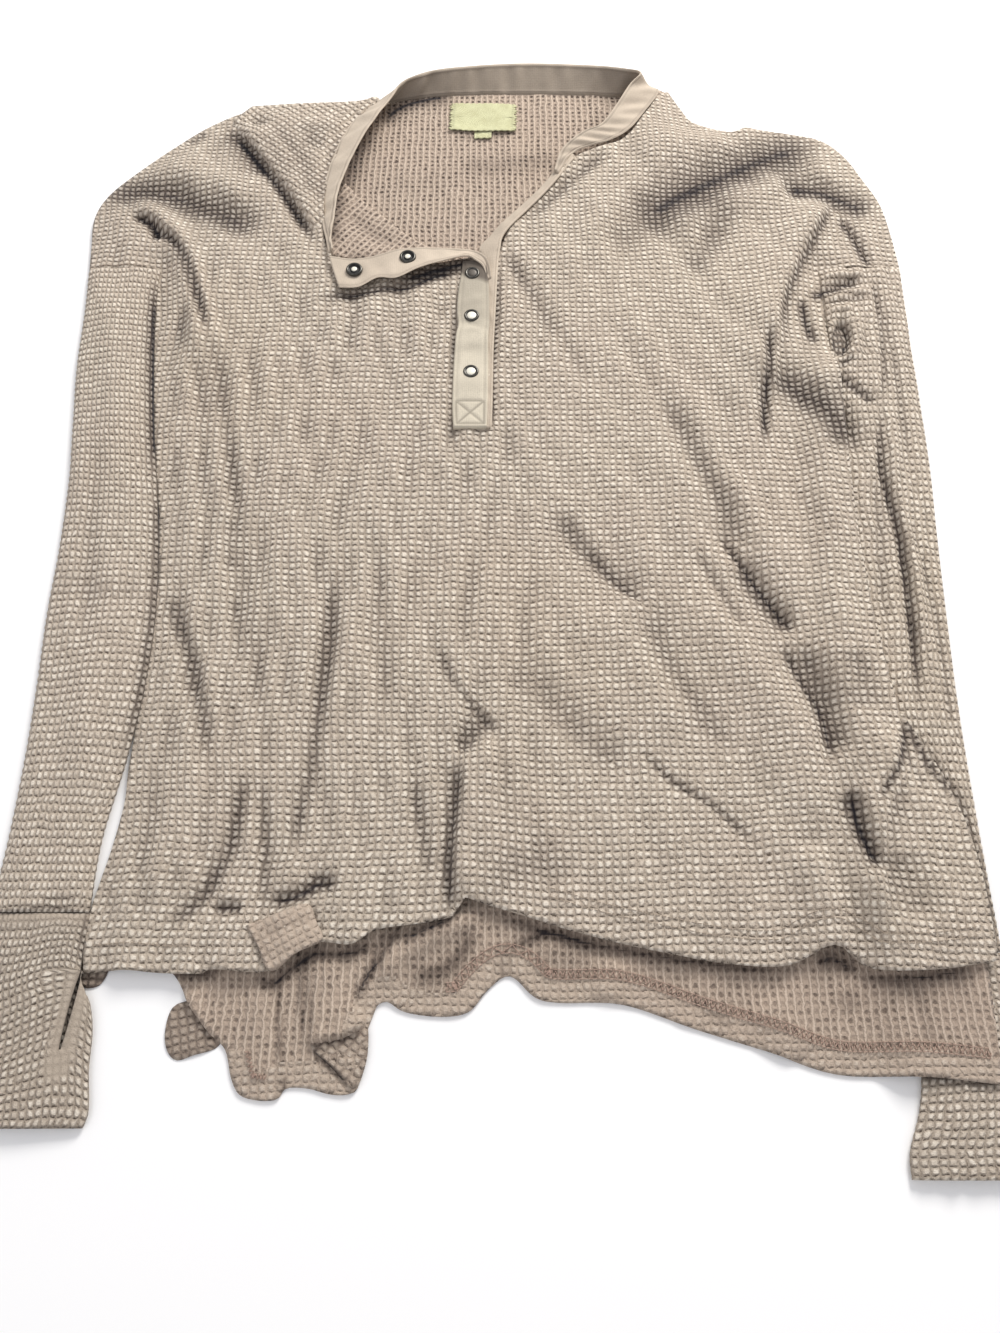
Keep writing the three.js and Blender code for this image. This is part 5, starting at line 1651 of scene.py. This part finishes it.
def offset_run(points, by, heights, lift, zigzag):
    """A run parallel to an edge, at the cloth's height, straight or zigzag."""
    fine = curve(points, 16)
    length = run_length(fine)
    wanted = np.arange(END_GAP, length[-1] - END_GAP, ZIGZAG_PITCH / 2)
    x = np.interp(wanted, length, fine[:, 0])
    y = np.interp(wanted, length, fine[:, 1])
    tx, ty = np.gradient(x), np.gradient(y)
    size = np.hypot(tx, ty)
    swing = by + zigzag * (np.arange(len(wanted)) % 2 * 2 - 1)
    x, y = x - ty / size * swing, y + tx / size * swing
    return np.stack([x, y, heights(x, y) + lift], axis=1)


# Rows of stitches: path, how far to its left, lift, zigzag, stitch length, gap.
INSIDE_ROWS = [
    (BACK_HEM_RIGHT[3:], 13, 0.35, 0, 2.4, 0.5),
    (BACK_HEM_RIGHT[3:], 18, 0.35, 0, 2.4, 0.5),
    (BACK_HEM_RIGHT[3:], 15.5, 0.35, 1.9, 2.2, 0.2),
    (BACK_NECK[1:5], -4.5, 1.0, 0, 2.0, 0.6),
    (BACK_NECK[1:5], -1.2, 1.4, 1.2, 2.0, 0.2),
    (BACK_HEM_LEFT[4:9], 12, 0.35, 1.6, 2.2, 0.3),
]
OUTSIDE_ROWS = [
    (FRONT_HEM_RIGHT[1:], 15, 0.35, 0, 2.6, 0.9),
    (FRONT_HEM_RIGHT[1:], 20, 0.35, 0, 2.6, 0.9),
    (FRONT_HEM_LEFT[:4], 15, 0.35, 0, 2.6, 0.9),
    ([(-312, 573), (-290, 572), (-264, 573)], 0, 0.35, 0, 2.6, 0.9),
    ([(303, 573), (286, 571), (276, 596), (264, 634)], 0, 0.35, 0, 2.6, 0.9),
]


def stitch_rows(name, rows, relief, colour, radius):
    runs = []
    for path, by, lift, zigzag, long, gap in rows:
        runs.append((offset_run(path, by, relief.z, lift, zigzag), long, gap))
    return threads(name, runs, colour, radius)


def add_stitches(front, back):
    pink = stitch_rows("stitches_inside", INSIDE_ROWS, back, CLOTH["thread_inside"], 0.3)
    grey = stitch_rows("stitches_outside", OUTSIDE_ROWS, front, CLOTH["thread_outside"], 0.28)
    return pink, grey


# ---------------------------------------------------------------- snaps

SOCKETS = ["snap_socket_outer", "snap_socket_inner"]
STUDS = ["snap_stud_top", "snap_stud_middle", "snap_stud_bottom"]
# The stud whose core is painted in shade.
SHADED_STUD = "snap_stud_top"
STUD_SUNK = 0.2
SEAT_REACH = 5
# Turned sections: radius and height.
SOCKET_FORM = [
    (6.2, 0.0), (6.3, 0.6), (5.9, 1.3), (5.2, 1.6), (4.6, 1.45), (4.2, 0.9), (3.9, 0.35), (3.2, 0.2),
    (2.5, 0.3), (2.2, 1.0), (1.8, 1.35), (0.9, 1.45), (0.02, 1.4),
]
STUD_FORM = [
    (5.5, 0.0), (5.6, 0.5), (5.1, 1.0), (4.4, 1.1), (3.9, 0.75), (3.6, 0.5), (3.3, 0.55), (3.0, 0.75),
    (2.0, 0.9), (1.0, 0.95), (0.02, 0.95),
]
# Names, section, and the radii inside which the well and the core begin.
SNAPS = [(SOCKETS, SOCKET_FORM, 4.4, 2.3), (STUDS, STUD_FORM, 3.75, 3.3)]


def snap_arrays(form, turns=40):
    """A section turned about its axis."""
    angle = np.linspace(0, 2 * math.pi, turns, endpoint=False)
    form = np.asarray(form, float)
    x = form[:, 0:1] * np.cos(angle)
    y = form[:, 0:1] * np.sin(angle)
    z = np.repeat(form[:, 1:2], turns, axis=1)
    return np.dstack([x, y, z]), quad_grid(len(form), turns, round_across=True)


def add_snaps(strip):
    """The snaps, the studs seated on the placket's strip."""
    spots = np.empty(len(strip.data.vertices) * 3, np.float32)
    strip.data.vertices.foreach_get("co", spots)
    spots = spots.reshape(-1, 3)
    rim = plain_material("snap_rim", (0.1, 0.095, 0.085), 0.32, metallic=1.0, grain=0.35)
    well = plain_material("snap_well", (0.03, 0.028, 0.027), 0.5, metallic=0.6, grain=0.3)
    # Painted reflection: the cores are a pale cream that stands in for polished metal catching the light.
    # The top stud's core has a dark copy instead, painted shade for the flap's shadow over it.
    painted_highlight = plain_material("snap_painted_reflection", (0.86, 0.82, 0.7), 0.42, metallic=0.15, grain=0.15)
    painted_shade_snap = plain_material("snap_shaded", (0.1, 0.085, 0.07), 0.5, metallic=0.4, grain=0.3)
    made = []
    for names, form, inner, core in SNAPS:
        points, faces = snap_arrays(form)
        radius = np.hypot(points[..., 0], points[..., 1]).reshape(-1)[faces].mean(axis=1)
        kind = np.where(radius > inner, 0, np.where(radius > core, 1, 2))
        local = points.reshape(-1, 3)
        for name in names:
            low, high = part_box(name)
            centre = [(a + b) / 2 for a, b in zip(low, high)]
            near = np.hypot(spots[:, 0] - centre[0], spots[:, 1] - centre[1]) < SEAT_REACH * MM
            seat = max(low[2], np.median(spots[near, 2]) - STUD_SUNK * MM) if near.any() else low[2]
            world = local + [centre[0] / MM - SHIFT_X, centre[1] / MM - SHIFT_Y, seat / MM]
            arrays = (world, faces, local[:, :2].copy(), np.zeros(len(local)))
            metals = [rim, well, painted_shade_snap if name == SHADED_STUD else painted_highlight]
            snap = make_object(name + "_metal", arrays, metals, kind)
            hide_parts(name)
            made.append(snap)
    return made


# ---------------------------------------------------------------- the whole garment

def main():
    add_camera()
    add_lights()
    add_floor()
    knit = knit_material("waffle_outside")
    wrong = knit_material("waffle_inside", wrong_side=True)
    turned = knit_material("waffle_hem", ground=CLOTH["hem"], glow=0.55)
    plain = plain_knit_material("plain_jersey", CLOTH["plain"])
    pale = plain_knit_material("pale_jersey", CLOTH["placket"])
    front_relief = body_relief()
    rear_relief = back_relief()
    front = add_front(front_relief, knit, wrong, turned)
    back = add_back(rear_relief, turned, wrong)
    sleeves = add_sleeves(knit)
    band, flap, under = add_neck(front_relief, plain, pale)
    label = add_label(rear_relief)
    pink, grey = add_stitches(front_relief, rear_relief)
    snaps = add_snaps(under)


main()
